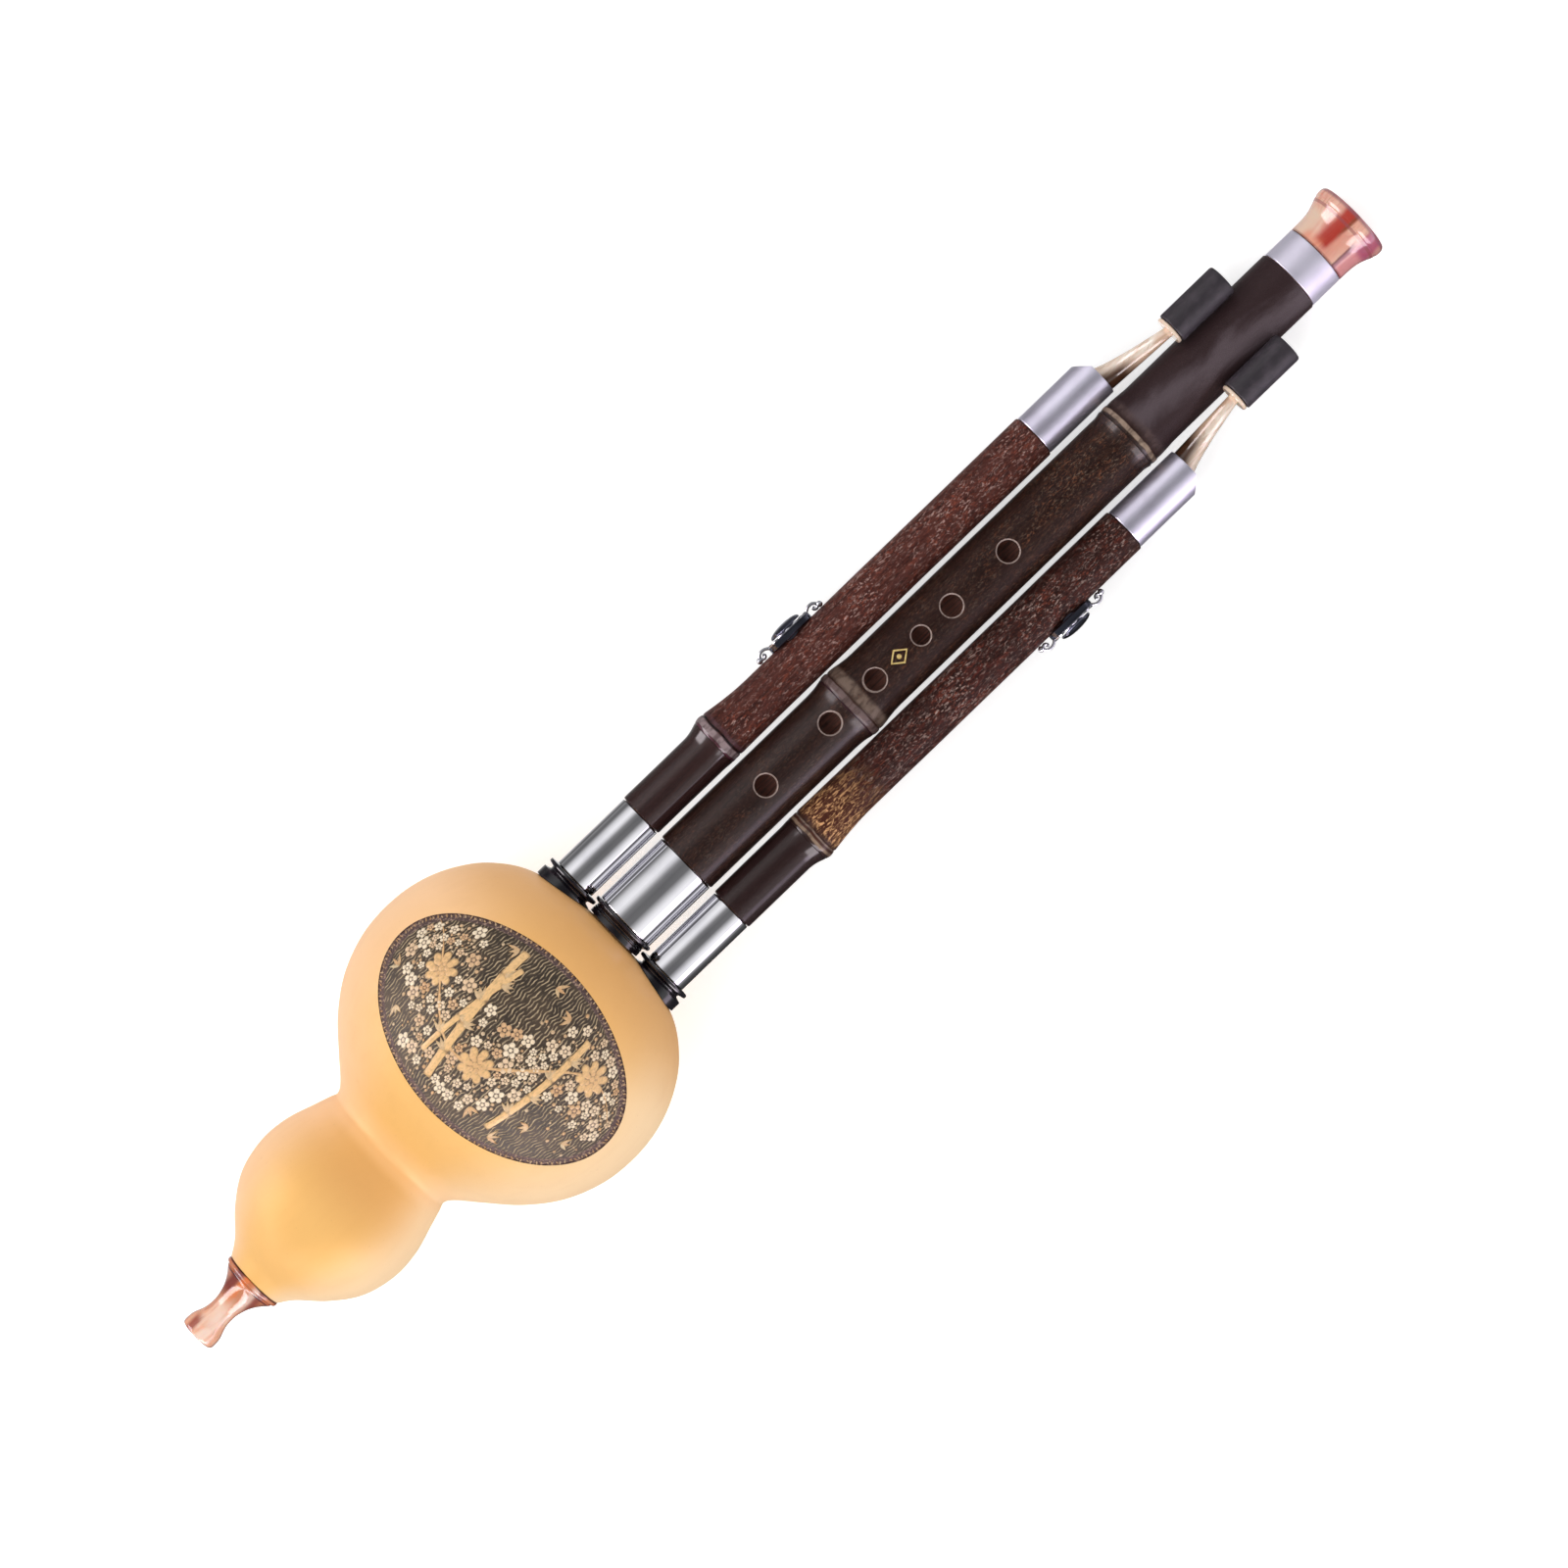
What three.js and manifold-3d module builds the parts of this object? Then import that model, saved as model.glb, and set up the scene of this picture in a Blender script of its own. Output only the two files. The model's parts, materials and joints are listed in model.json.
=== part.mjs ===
// A hulusi: a free-reed gourd pipe with one fingered pipe and two drones.
// Millimetres, +Z up. It lies on its back on a table, finger holes up, bell towards +X.
import * as THREE from 'three';
import { mergeVertices } from 'three/addons/utils/BufferGeometryUtils.js';
import Module from 'manifold-3d';

const wasm = await Module();
wasm.setup();

// Clearance between pieces that touch, and how far a cutter runs past what it cuts
const seatGap = 0.3;
const cutOverrun = 3;

// Facets round each kind of turned piece
const gourdSides = 38;
const pipeSides = 22;
const smallSides = 14;
const holeSides = 12;

// Mouthpiece, from its tip, with the spigot that goes into the gourd
const mouthpieceLength = 27;
const lipRadius = 6.6;
const neckRadius = 4.55;
const flangeRadius = 11.2;
const flangeThickness = 1.6;
const mouthpieceBore = 2.6;
const spigotRadius = 5.2;
const spigotLength = 9;
const corkThickness = 1.9;

// Along the mouthpiece, and from the neck's radius to the lip's, then to the flange's
const lipShares = [[0, 0.75], [0.04, 1], [0.15, 1], [0.22, 0.75], [0.29, 0.3], [0.37, 0]];
const flareShares = [[0.46, 0], [0.6, 0.09], [0.74, 0.31], [0.86, 0.66], [0.92, 0.88]];

// Gourd: a small bulb at the mouth, a crisp waist and a big bulb
const gourdWall = 3.8;
const smallBulbLength = 63.8;
const smallBulbRadius = 32.3;
const bigBulbLength = 103.8;
const bigBulbRadius = 59.8;
const restFlatDepth = 0.45;
const tiltRounds = 50;

// Along each bulb, and of its radius
const smallBulbShares = [
  [0, 0.353], [0.08, 0.465], [0.2, 0.706], [0.35, 0.91], [0.53, 1], [0.7, 0.98], [0.86, 0.885], [1, 0.8],
];
const bigBulbShares = [
  [0, 0.432], [0.035, 0.475], [0.09, 0.585], [0.18, 0.755], [0.29, 0.895], [0.42, 0.98],
  [0.55, 1], [0.67, 0.97], [0.78, 0.89], [0.875, 0.765], [0.95, 0.575], [0.99, 0.29], [1, 0],
];

// Pipes: the drones stand on both sides of the main pipe, and their lower ferrules end in one line
const droneSpacing = 21.9;
const ferruleReach = 33.4;
const ferruleWall = 0.6;

// Main pipe, from its collar to its bell
const mainRadius = 11.95;
const mainBore = 7.5;
const mainLength = 281.6;
const mainFerruleRadius = 11.65;
const mainCollarRadius = 12.6;
const mainCollarFootRadius = 11;
const mainCollarRise = 4.9;
const mainSocketBore = 9.6;
const mainNodeRise = 1.25;
const mainUpperNodeRise = 0.45;
const mainNodeSpan = 9;

// Drone pipes
const droneRadius = 8.35;
const droneBore = 5.6;
const droneLength = 183.7;
const droneFerruleRadius = 8;
const droneCollarRadius = 10.6;
const droneCollarFootRadius = 10.6;
const droneCollarRise = 2.6;
const droneSocketBore = 7.2;
const droneNodeRise = 1.05;
const droneNodeSpan = 8;

// Nodes along the bare bamboo, and each ridge's outline along its span and of its rise
const mainNodeShare = 0.274;
const mainUpperNodeShare = 0.737;
const droneNodeShare = 0.2;
const ridgeShares = [[-1, 0], [-0.2, 0.6], [0, 1], [0.15, 0.55], [0.4, 0.7], [1, 0]];

// Socket collars, spool-shaped: the main collar's wide top rim lies over the rims of the drones'
const collarRimThickness = 1.4;
const collarWaistWall = 1.1;
const collarWaistLength = 2;
const collarDepth = 9;

// Finger holes along the bare main bamboo: six in front, one of them small, and three behind
const fingerHoleRadius = 3.8;
const smallHoleRadius = 3.25;
const holeChamfer = 0.7;
const frontHoleShares = [0.133, 0.239, 0.3136, 0.4396, 0.5327];
const smallHoleShare = 0.389;
const backHoleShares = [0.081, 0.6456, 0.699];

// Reed stocks, the closed tubes that carry the reeds inside the gourd, and their seal rings
const stockWall = 1.7;
const stockDepth = 44;
const stockHold = 18;
const stockEndWall = 3;
const sealDepth = 7;
const reedInset = 5;
const reedPlateThickness = 0.8;
const reedTongueThickness = 0.3;

// Reed plates and tongues of each pipe: length and width
const mainReed = { plateLength: 24, plateWidth: 7.5, tongueLength: 18, tongueWidth: 3.2, flatDepth: 1.6 };
const droneReed = { plateLength: 20, plateWidth: 6, tongueLength: 14.5, tongueWidth: 2.6, flatDepth: 1.3 };
const tongueTipShare = 0.6;

// Bell and its ring
const tipRingLength = 12.3;
const tipSeatLength = 6;
const bellLength = 17.6;
const bellRimRadius = 14.5;
const bellThroatBore = 8.4;
const bellMouthBore = 12.4;
const bellFlareShares = [[0, 0], [0.3, 0.04], [0.52, 0.28], [0.72, 0.74], [0.86, 1], [0.96, 0.97], [1, 0.88]];

// Upper ferrules, resin nozzles and their caps
const upperFerruleLength = 29.8;
const upperFerruleRadius = 7.9;
const upperSeatLength = 12;
const slantDepth = 4.6;
const nozzlePlugLength = 12.5;
const nozzleLength = 27.3;
const nozzleNeckRadius = 1.9;
const nozzleBore = 1.2;
const nozzleTaperPower = 0.47;
const nozzleFlangeThickness = 1.3;
const nozzleFlangeRadius = 5.3;
const nozzleSpigotRadius = 3.2;
const nozzleSpigotLength = 13;
const nozzleLean = 6.3;
const nozzleForward = 10.2;
const nozzleSteps = 12;
const capLength = 23.8;
const capRadius = 5.75;
const capEndWall = 9;
const capEdge = 0.8;

// Silvered rosettes round the drones' tone holes, with a domed stopper in each
const highRosetteShare = 0.4295;
const lowRosetteShare = 0.8149;
const toneHoleRadius = 3.8;
const rosetteLength = 30;
const rosettePlateLength = 18.3;
const rosettePlateWidth = 13;
const rosettePlateRise = 2.7;
const rosettePlateSink = 0.4;
const rosetteSeatRadius = 4.6;
const rosetteBeadRadius = 1.1;
const rosetteArmRadius = 0.7;
const rosetteArmArch = 1.5;
const scrollSteps = 5;
const stopperRadius = 6.25;
const stopperDomeRise = 2.1;
const domeSteps = 5;

// Places along the instrument, from the mouthpiece's tip
const gourdStart = mouthpieceLength + seatGap;
const waistPlace = gourdStart + smallBulbLength;
const domeTop = waistPlace + bigBulbLength;
const ferruleEnd = domeTop + ferruleReach;
const mainEnd = ferruleEnd + mainLength;
const droneEnd = ferruleEnd + droneLength;
const mouthBore = spigotRadius + seatGap + corkThickness + seatGap;

const finishes = {
  gourd: { color: 0xf2bf7c, roughness: 0.35, metalness: 0 },
  resin: { color: 0xd98a74, roughness: 0.2, metalness: 0 },
  paleResin: { color: 0xc9a37c, roughness: 0.25, metalness: 0 },
  cork: { color: 0xb98a5a, roughness: 0.9, metalness: 0 },
  black: { color: 0x151416, roughness: 0.2, metalness: 0 },
  rubber: { color: 0x1a1819, roughness: 0.7, metalness: 0 },
  chrome: { color: 0xd8dade, roughness: 0.08, metalness: 1 },
  silver: { color: 0xc4c6cc, roughness: 0.3, metalness: 1 },
  bamboo: { color: 0x3c2420, roughness: 0.4, metalness: 0 },
  stock: { color: 0xc9a46c, roughness: 0.6, metalness: 0 },
  brass: { color: 0xd0a048, roughness: 0.3, metalness: 1 },
};

// Shaping

function solidOf(geometry) {
  const bare = geometry.clone();
  bare.deleteAttribute('normal');
  bare.deleteAttribute('uv');
  const merged = mergeVertices(bare);
  const index = merged.index.array;
  const corners = [];
  for (let i = 0; i < index.length; i += 3) {
    const [a, b, c] = [index[i], index[i + 1], index[i + 2]];
    if (a !== b && b !== c && c !== a) corners.push(a, b, c);
  }
  return new wasm.Manifold(new wasm.Mesh({
    numProp: 3,
    vertProperties: new Float32Array(merged.attributes.position.array),
    triVerts: new Uint32Array(corners),
  }));
}

function geometryOf(solid) {
  const mesh = solid.getMesh();
  const geometry = new THREE.BufferGeometry();
  geometry.setAttribute('position', new THREE.BufferAttribute(mesh.vertProperties, 3));
  geometry.setIndex(new THREE.BufferAttribute(mesh.triVerts, 1));
  geometry.computeVertexNormals();
  return geometry;
}

function cutAway(geometry, cutters) {
  return geometryOf(cutters.reduce((left, cutter) => left.subtract(solidOf(cutter)), solidOf(geometry)));
}

function joinUp(geometries) {
  return geometryOf(geometries.map(solidOf).reduce((sum, next) => sum.add(next)));
}

// Turns [along, radius] points round the X axis; the outside runs towards +X
function turned(points, sides) {
  const outline = points.map(([along, radius]) => new THREE.Vector2(radius, along));
  const lathe = new THREE.LatheGeometry(outline, sides, Math.PI / sides);
  return lathe.rotateZ(-Math.PI / 2);
}

function tube(start, end, outer, inner, sides) {
  return turned([[start, inner], [start, outer], [end, outer], [end, inner], [start, inner]], sides);
}

function rod(start, end, radius, sides) {
  return turned([[start, 0], [start, radius], [end, radius], [end, 0]], sides);
}

function cone(start, end, startRadius, endRadius, sides) {
  return turned([[start, 0], [start, startRadius], [end, endRadius], [end, 0]], sides);
}

// Slides each ring of a turned piece sideways by offsetAt(along), which gives [y, z]
function swept(geometry, offsetAt) {
  const position = geometry.attributes.position;
  for (let i = 0; i < position.count; i += 1) {
    const [y, z] = offsetAt(position.getX(i));
    position.setY(i, position.getY(i) + y);
    position.setZ(i, position.getZ(i) + z);
  }
  geometry.computeVertexNormals();
  return geometry;
}

function piece(name, geometry, finish) {
  const mesh = new THREE.Mesh(geometry, new THREE.MeshStandardMaterial(finishes[finish]));
  mesh.name = name;
  return mesh;
}

// Gourd

function smallBulbPoints() {
  return smallBulbShares.map(([along, share]) => [
    gourdStart + along * smallBulbLength, share * smallBulbRadius,
  ]);
}

function bigBulbPoints() {
  return bigBulbShares.map(([along, share]) => [
    waistPlace + along * bigBulbLength, share * bigBulbRadius,
  ]);
}

// Moves an outline square to itself, outwards for a positive distance; it ends on the axis
function offsetOutline(points, distance) {
  return points.map(([along, radius], i) => {
    const before = points[Math.max(i - 1, 0)];
    const last = i === points.length - 1;
    const after = last ? [before[0], -before[1]] : points[i + 1];
    const [run, climb] = [after[0] - before[0], after[1] - before[1]];
    const span = Math.hypot(run, climb);
    return [along - distance * climb / span, last ? 0 : radius + distance * run / span];
  });
}

function gourdOutline() {
  return [...smallBulbPoints().slice(0, -1), ...bigBulbPoints()];
}

function restReach(points, sides, tilt) {
  const flat = Math.cos(Math.PI / sides);
  return Math.max(...points.map(([along, radius]) => (
    along * Math.sin(tilt) + radius * flat * Math.cos(tilt))));
}

// The tilt at which the big bulb's flat and the bell's rim lie on one table
function restTilt() {
  let [low, high] = [0, Math.PI / 4];
  for (let i = 0; i < tiltRounds; i += 1) {
    const tilt = (low + high) / 2;
    const bulb = restReach(gourdOutline(), gourdSides, tilt) - restFlatDepth;
    if (restReach(bellOutside(), pipeSides, tilt) > bulb) high = tilt;
    else low = tilt;
  }
  return (low + high) / 2;
}

function restCutter(tilt) {
  const size = domeTop * 2;
  const depth = restReach(gourdOutline(), gourdSides, tilt) - restFlatDepth;
  return new THREE.BoxGeometry(size, size, size)
    .translate(domeTop / 2, 0, -depth - size / 2).rotateY(-tilt);
}

function gourdShell(tilt) {
  const outside = gourdOutline();
  const cavity = offsetOutline(outside, -gourdWall)
    .filter(([along, radius]) => radius === 0 || (along > gourdStart + gourdWall && radius > mouthBore));
  const inside = cavity.reverse();
  const mouth = [[gourdStart + gourdWall, mouthBore], [gourdStart, mouthBore]];
  const shell = turned([...inside, ...mouth, ...outside], gourdSides);
  const holes = [[0, mainSocketBore], [droneSpacing, droneSocketBore], [-droneSpacing, droneSocketBore]]
    .map(([y, radius]) => (
      rod(domeTop - bigBulbRadius / 4, domeTop + cutOverrun, radius, pipeSides).translate(0, y, 0)));
  return cutAway(shell, [...holes, restCutter(tilt)]);
}

// Mouthpiece and its cork

function mouthpiece() {
  const lip = lipShares.map(([along, share]) => [
    along * mouthpieceLength, neckRadius + share * (lipRadius - neckRadius),
  ]);
  const flare = flareShares.map(([along, share]) => [
    along * mouthpieceLength, neckRadius + share * (flangeRadius - neckRadius),
  ]);
  const end = gourdStart + spigotLength;
  return turned([
    [0, mouthpieceBore], ...lip, ...flare,
    [mouthpieceLength - flangeThickness, flangeRadius], [mouthpieceLength, flangeRadius],
    [mouthpieceLength, spigotRadius], [end, spigotRadius], [end, mouthpieceBore], [0, mouthpieceBore],
  ], smallSides);
}

function mouthpieceCork() {
  const inner = spigotRadius + seatGap;
  return tube(gourdStart, gourdStart + spigotLength - seatGap, inner + corkThickness, inner, smallSides);
}

// Socket collars and lower ferrules

function collar(pipe) {
  const waist = pipe.socketBore + collarWaistWall;
  const top = pipe.collarTop;
  const rimFoot = top - collarRimThickness;
  const waistFoot = rimFoot - collarWaistLength;
  const foot = top - collarDepth;
  const spool = turned([
    [foot, pipe.socketBore], [foot, pipe.collarFootRadius], [waistFoot, pipe.collarFootRadius],
    [waistFoot + collarWaistLength / 4, waist], [rimFoot - collarWaistLength / 4, waist],
    [rimFoot, pipe.collarRadius], [top, pipe.collarRadius], [top, pipe.socketBore],
    [foot, pipe.socketBore],
  ], pipeSides);
  const dome = offsetOutline(bigBulbPoints(), seatGap);
  const gourdForm = turned([[dome[0][0], 0], ...dome], gourdSides).translate(0, -pipe.side * droneSpacing, 0);
  return cutAway(spool, [gourdForm]);
}

function lowerFerrule(pipe) {
  return tube(pipe.start, ferruleEnd, pipe.ferruleRadius, pipe.ferruleRadius - ferruleWall, pipeSides);
}

// Bamboo

function ridge(place, span, pipeRadius, rise) {
  return ridgeShares.map(([along, share]) => [place + along * span, pipeRadius + share * rise]);
}

function culm(pipe, ridges, end, tipSeatEnd, tipSeatRadius) {
  const shoulder = ferruleEnd + seatGap;
  const seatRadius = pipe.ferruleRadius - ferruleWall - seatGap;
  return turned([
    [pipe.start, pipe.bore], [pipe.start, seatRadius], [shoulder, seatRadius], [shoulder, pipe.radius],
    ...ridges,
    [end, pipe.radius], [end, tipSeatRadius], [tipSeatEnd, tipSeatRadius], [tipSeatEnd, pipe.bore],
    [pipe.start, pipe.bore],
  ], pipeSides);
}

// A round hole with a chamfered edge, through one wall of a pipe whose radius is given, facing +Z
function holeCutters(place, pipeRadius, holeRadius) {
  const top = pipeRadius + cutOverrun;
  const chamferTop = holeRadius + holeChamfer + cutOverrun;
  const chamferFoot = pipeRadius - holeChamfer;
  return [
    rod(0, top, holeRadius, holeSides),
    cone(chamferFoot, top, holeRadius, chamferTop, holeSides),
  ].map((cutter) => cutter.rotateY(-Math.PI / 2).translate(place, 0, 0));
}

function mainBamboo(pipe) {
  const ridges = [
    ...ridge(ferruleEnd + mainNodeShare * mainLength, mainNodeSpan, mainRadius, mainNodeRise),
    ...ridge(ferruleEnd + mainUpperNodeShare * mainLength, mainNodeSpan, mainRadius, mainUpperNodeRise),
  ];
  const tipSeat = mainFerruleRadius - ferruleWall - seatGap;
  const stem = culm(pipe, ridges, mainEnd, mainEnd + tipSeatLength, tipSeat);
  const front = frontHoleShares.flatMap((share) => (
    holeCutters(ferruleEnd + share * mainLength, mainRadius, fingerHoleRadius)));
  const small = holeCutters(ferruleEnd + smallHoleShare * mainLength, mainRadius, smallHoleRadius);
  const back = backHoleShares.flatMap((share) => (
    holeCutters(ferruleEnd + share * mainLength, mainRadius, fingerHoleRadius)));
  return cutAway(stem, [...front, ...small, ...back.map((cutter) => cutter.scale(1, -1, -1))]);
}

function droneBamboo(pipe) {
  const node = ridge(ferruleEnd + droneNodeShare * droneLength, droneNodeSpan, droneRadius, droneNodeRise);
  const tipSeat = upperFerruleRadius - ferruleWall - seatGap;
  const stem = culm(pipe, node, droneEnd, droneEnd + upperSeatLength, tipSeat);
  const hole = rod(0, droneRadius + cutOverrun, toneHoleRadius, holeSides)
    .rotateZ(pipe.side * Math.PI / 2).translate(pipe.rosettePlace, 0, 0);
  return cutAway(stem, [hole]);
}

// Reed stocks, seal rings, reed plates and tongues

function reedStock(pipe) {
  const foot = domeTop - stockDepth;
  const end = pipe.start + stockHold;
  const radius = pipe.bore - seatGap;
  const bore = radius - stockWall;
  const floor = foot + stockEndWall;
  const body = turned([
    [foot, 0], [foot, radius], [end, radius], [end, bore], [floor, bore], [floor, 0],
  ], smallSides);
  const { plateLength, plateWidth, tongueLength, tongueWidth, flatDepth } = pipe.reed;
  const flat = new THREE.BoxGeometry(plateLength + seatGap * 2, radius * 4, radius)
    .translate(pipe.reedMiddle, 0, radius - flatDepth + radius / 2);
  const window = new THREE.BoxGeometry(tongueLength + seatGap * 2, tongueWidth + seatGap * 2, radius)
    .translate(pipe.reedMiddle, 0, radius / 2 + flatDepth);
  return cutAway(body, [flat, window]);
}

function sealRing(pipe) {
  return tube(domeTop - sealDepth, pipe.collarTop - seatGap, pipe.socketBore - seatGap, pipe.bore, pipeSides);
}

function reedFace(pipe) {
  return pipe.bore - seatGap - pipe.reed.flatDepth + seatGap;
}

function plateOutline({ plateLength, plateWidth }) {
  const [x, y] = [plateLength / 2, plateWidth / 2];
  return new THREE.Shape([[-x, -y], [x, -y], [x, y], [-x, y]].map((p) => new THREE.Vector2(...p)));
}

// The tongue's outline, wide at its root on the bell side; a margin widens it for the slot round it
function tongueOutline({ tongueLength, tongueWidth }, margin) {
  const [tip, root] = [-tongueLength / 2 - margin, tongueLength / 2 + margin];
  const [tipHalf, rootHalf] = [tongueWidth * tongueTipShare / 2 + margin, tongueWidth / 2 + margin];
  return [[tip, -tipHalf], [root, -rootHalf], [root, rootHalf], [tip, tipHalf]]
    .map((p) => new THREE.Vector2(...p));
}

function reedPlate(pipe) {
  const outline = plateOutline(pipe.reed);
  outline.holes.push(new THREE.Path(tongueOutline(pipe.reed, seatGap)));
  return new THREE.ExtrudeGeometry(outline, { depth: reedPlateThickness, bevelEnabled: false })
    .translate(pipe.reedMiddle, 0, reedFace(pipe));
}

function reedTongue(pipe) {
  return new THREE.ExtrudeGeometry(new THREE.Shape(tongueOutline(pipe.reed, 0)), {
    depth: reedTongueThickness, bevelEnabled: false,
  }).translate(pipe.reedMiddle, 0, reedFace(pipe) + (reedPlateThickness - reedTongueThickness) / 2);
}

// Bell and tip ring of the main pipe

function tipRing() {
  const start = mainEnd + seatGap;
  return tube(start, mainEnd + tipRingLength, mainFerruleRadius, mainFerruleRadius - ferruleWall, pipeSides);
}

function bellOutside() {
  const start = mainEnd + tipRingLength + seatGap;
  return bellFlareShares.map(([along, share]) => [
    start + along * bellLength, mainFerruleRadius + share * (bellRimRadius - mainFerruleRadius),
  ]);
}

function bell() {
  const outside = bellOutside();
  const shoulder = outside[0][0];
  const end = shoulder + bellLength;
  const foot = mainEnd + tipSeatLength + seatGap;
  const tenon = mainFerruleRadius - ferruleWall - seatGap;
  return turned([
    [foot, mainBore], [foot, tenon], [shoulder, tenon], ...outside,
    [end, bellMouthBore], [shoulder + bellLength / 2, bellThroatBore], [shoulder, mainBore], [foot, mainBore],
  ], pipeSides);
}

// Upper ferrules, nozzles and caps of the drones

function upperFerrule(pipe) {
  const start = droneEnd + seatGap;
  const end = droneEnd + upperFerruleLength;
  const ring = tube(start, end, upperFerruleRadius, upperFerruleRadius - ferruleWall, pipeSides);
  const size = upperFerruleRadius * 4;
  const slant = new THREE.BoxGeometry(size, size, size).translate(size / 2, 0, 0)
    .rotateZ(pipe.side * Math.PI / 4)
    .translate(end - slantDepth, pipe.side * upperFerruleRadius, 0);
  return cutAway(ring, [slant]);
}

// The part of a nozzle that narrows, from its plug to its flange
function nozzleTaper() {
  const start = droneEnd + upperSeatLength + seatGap + nozzlePlugLength;
  const end = droneEnd + upperFerruleLength + nozzleLength - nozzleFlangeThickness;
  const narrowing = upperFerruleRadius - ferruleWall - seatGap - nozzleNeckRadius;
  const narrowed = (along) => narrowing
    * THREE.MathUtils.clamp((along - start) / (end - start), 0, 1) ** nozzleTaperPower;
  return { start, end, narrowing, narrowed };
}

// How far the nozzle's middle lies from the drone's axis: inwards, so that its inner side stays straight in
// the ferrule, and forwards
function nozzleOffset(pipe, along) {
  const { end, narrowing, narrowed } = nozzleTaper();
  const start = droneEnd + upperFerruleLength;
  const share = THREE.MathUtils.clamp((along - start) / (end - start), 0, 1);
  return [
    -pipe.side * (narrowed(along) + share * (nozzleLean - narrowing)),
    nozzleForward * THREE.MathUtils.smoothstep(share, 0, 1),
  ];
}

function nozzle(pipe) {
  const foot = droneEnd + upperSeatLength + seatGap;
  const end = droneEnd + upperFerruleLength + nozzleLength;
  const { start: plugEnd, end: flange, narrowed } = nozzleTaper();
  const plugRadius = upperFerruleRadius - ferruleWall - seatGap;
  const taper = [];
  for (let i = 1; i < nozzleSteps; i += 1) {
    const along = plugEnd + (i / nozzleSteps) ** 2 * (flange - plugEnd);
    taper.push([along, plugRadius - narrowed(along)]);
  }
  const bore = [...taper].reverse().map(([along]) => [along, nozzleBore]);
  const spigotEnd = end + nozzleSpigotLength;
  return swept(turned([
    [foot, nozzleBore], [foot, plugRadius], [plugEnd, plugRadius], ...taper,
    [flange, nozzleNeckRadius], [flange, nozzleFlangeRadius], [end, nozzleFlangeRadius],
    [end, nozzleSpigotRadius], [spigotEnd, nozzleSpigotRadius], [spigotEnd, nozzleBore],
    [flange, nozzleBore], ...bore, [plugEnd, nozzleBore], [foot, nozzleBore],
  ], smallSides), (along) => nozzleOffset(pipe, along));
}

function cap(pipe) {
  const start = droneEnd + upperFerruleLength + nozzleLength + seatGap;
  const end = start + capLength;
  const bore = nozzleSpigotRadius + seatGap;
  const [y, z] = nozzleOffset(pipe, end);
  return turned([
    [end - capEndWall, 0], [end - capEndWall, bore], [start, bore], [start, capRadius],
    [end - capEdge, capRadius], [end, capRadius - capEdge], [end, 0],
  ], smallSides).translate(0, y, z);
}

// Rosettes and stoppers. Both are made with the drone's axis below them, facing +Z

function faceOutwards(geometry, pipe) {
  return geometry.rotateX(-pipe.side * Math.PI / 2).translate(pipe.rosettePlace, 0, 0);
}

function rosetteScroll(end) {
  const bead = rosetteLength / 2 - rosetteBeadRadius;
  const edge = rosettePlateLength / 2 - rosetteArmRadius;
  const rise = droneRadius + seatGap + rosetteBeadRadius;
  const arch = new THREE.QuadraticBezierCurve3(
    new THREE.Vector3(end * edge, 0, rise),
    new THREE.Vector3(end * (bead + edge) / 2, 0, rise + rosetteArmArch * 2),
    new THREE.Vector3(end * bead, 0, rise),
  );
  const section = new THREE.Shape().absarc(0, 0, rosetteArmRadius, 0, Math.PI * 2);
  const arm = new THREE.ExtrudeGeometry(section, {
    steps: scrollSteps, curveSegments: scrollSteps, bevelEnabled: false, extrudePath: arch,
  });
  const ball = new THREE.SphereGeometry(rosetteBeadRadius, scrollSteps * 2, scrollSteps)
    .translate(end * bead, 0, rise);
  return [arm, ball];
}

function rosette(pipe) {
  const foot = droneRadius - rosettePlateSink;
  const plate = rod(foot, droneRadius + rosettePlateRise, rosettePlateLength / 2, pipeSides)
    .rotateY(-Math.PI / 2).scale(1, rosettePlateWidth / rosettePlateLength, 1);
  const seat = rod(0, droneRadius + seatGap * 2, rosetteSeatRadius, pipeSides).rotateY(-Math.PI / 2);
  const solid = joinUp([plate, seat, ...rosetteScroll(1), ...rosetteScroll(-1)]);
  const saddle = rod(-rosetteLength, rosetteLength, droneRadius + seatGap, pipeSides);
  const hole = rod(0, droneRadius * 2, toneHoleRadius, holeSides).rotateY(-Math.PI / 2);
  return faceOutwards(cutAway(solid, [saddle, hole]), pipe);
}

function stopper(pipe) {
  const foot = droneBore + seatGap;
  const base = droneRadius + rosettePlateRise + seatGap;
  const dome = [];
  for (let i = 0; i < domeSteps; i += 1) {
    const angle = (i / domeSteps) * Math.PI / 2;
    dome.push([base + stopperDomeRise * Math.sin(angle), stopperRadius * Math.cos(angle)]);
  }
  const stem = toneHoleRadius - seatGap;
  return faceOutwards(turned([
    [foot, 0], [foot, stem], [base, stem], ...dome, [base + stopperDomeRise, 0],
  ], smallSides).rotateY(-Math.PI / 2), pipe);
}

// Pipes

function pipeValues(sizes) {
  const collarTop = domeTop + sizes.collarRise;
  const reedMiddle = domeTop - stockDepth + reedInset + sizes.reed.plateLength / 2;
  return { ...sizes, collarTop, start: collarTop + seatGap, reedMiddle };
}

function droneValues(side, rosetteShare) {
  return pipeValues({
    side,
    radius: droneRadius,
    bore: droneBore,
    ferruleRadius: droneFerruleRadius,
    collarRadius: droneCollarRadius,
    collarFootRadius: droneCollarFootRadius,
    collarRise: droneCollarRise,
    socketBore: droneSocketBore,
    reed: droneReed,
    rosettePlace: ferruleEnd + rosetteShare * droneLength,
  });
}

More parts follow.
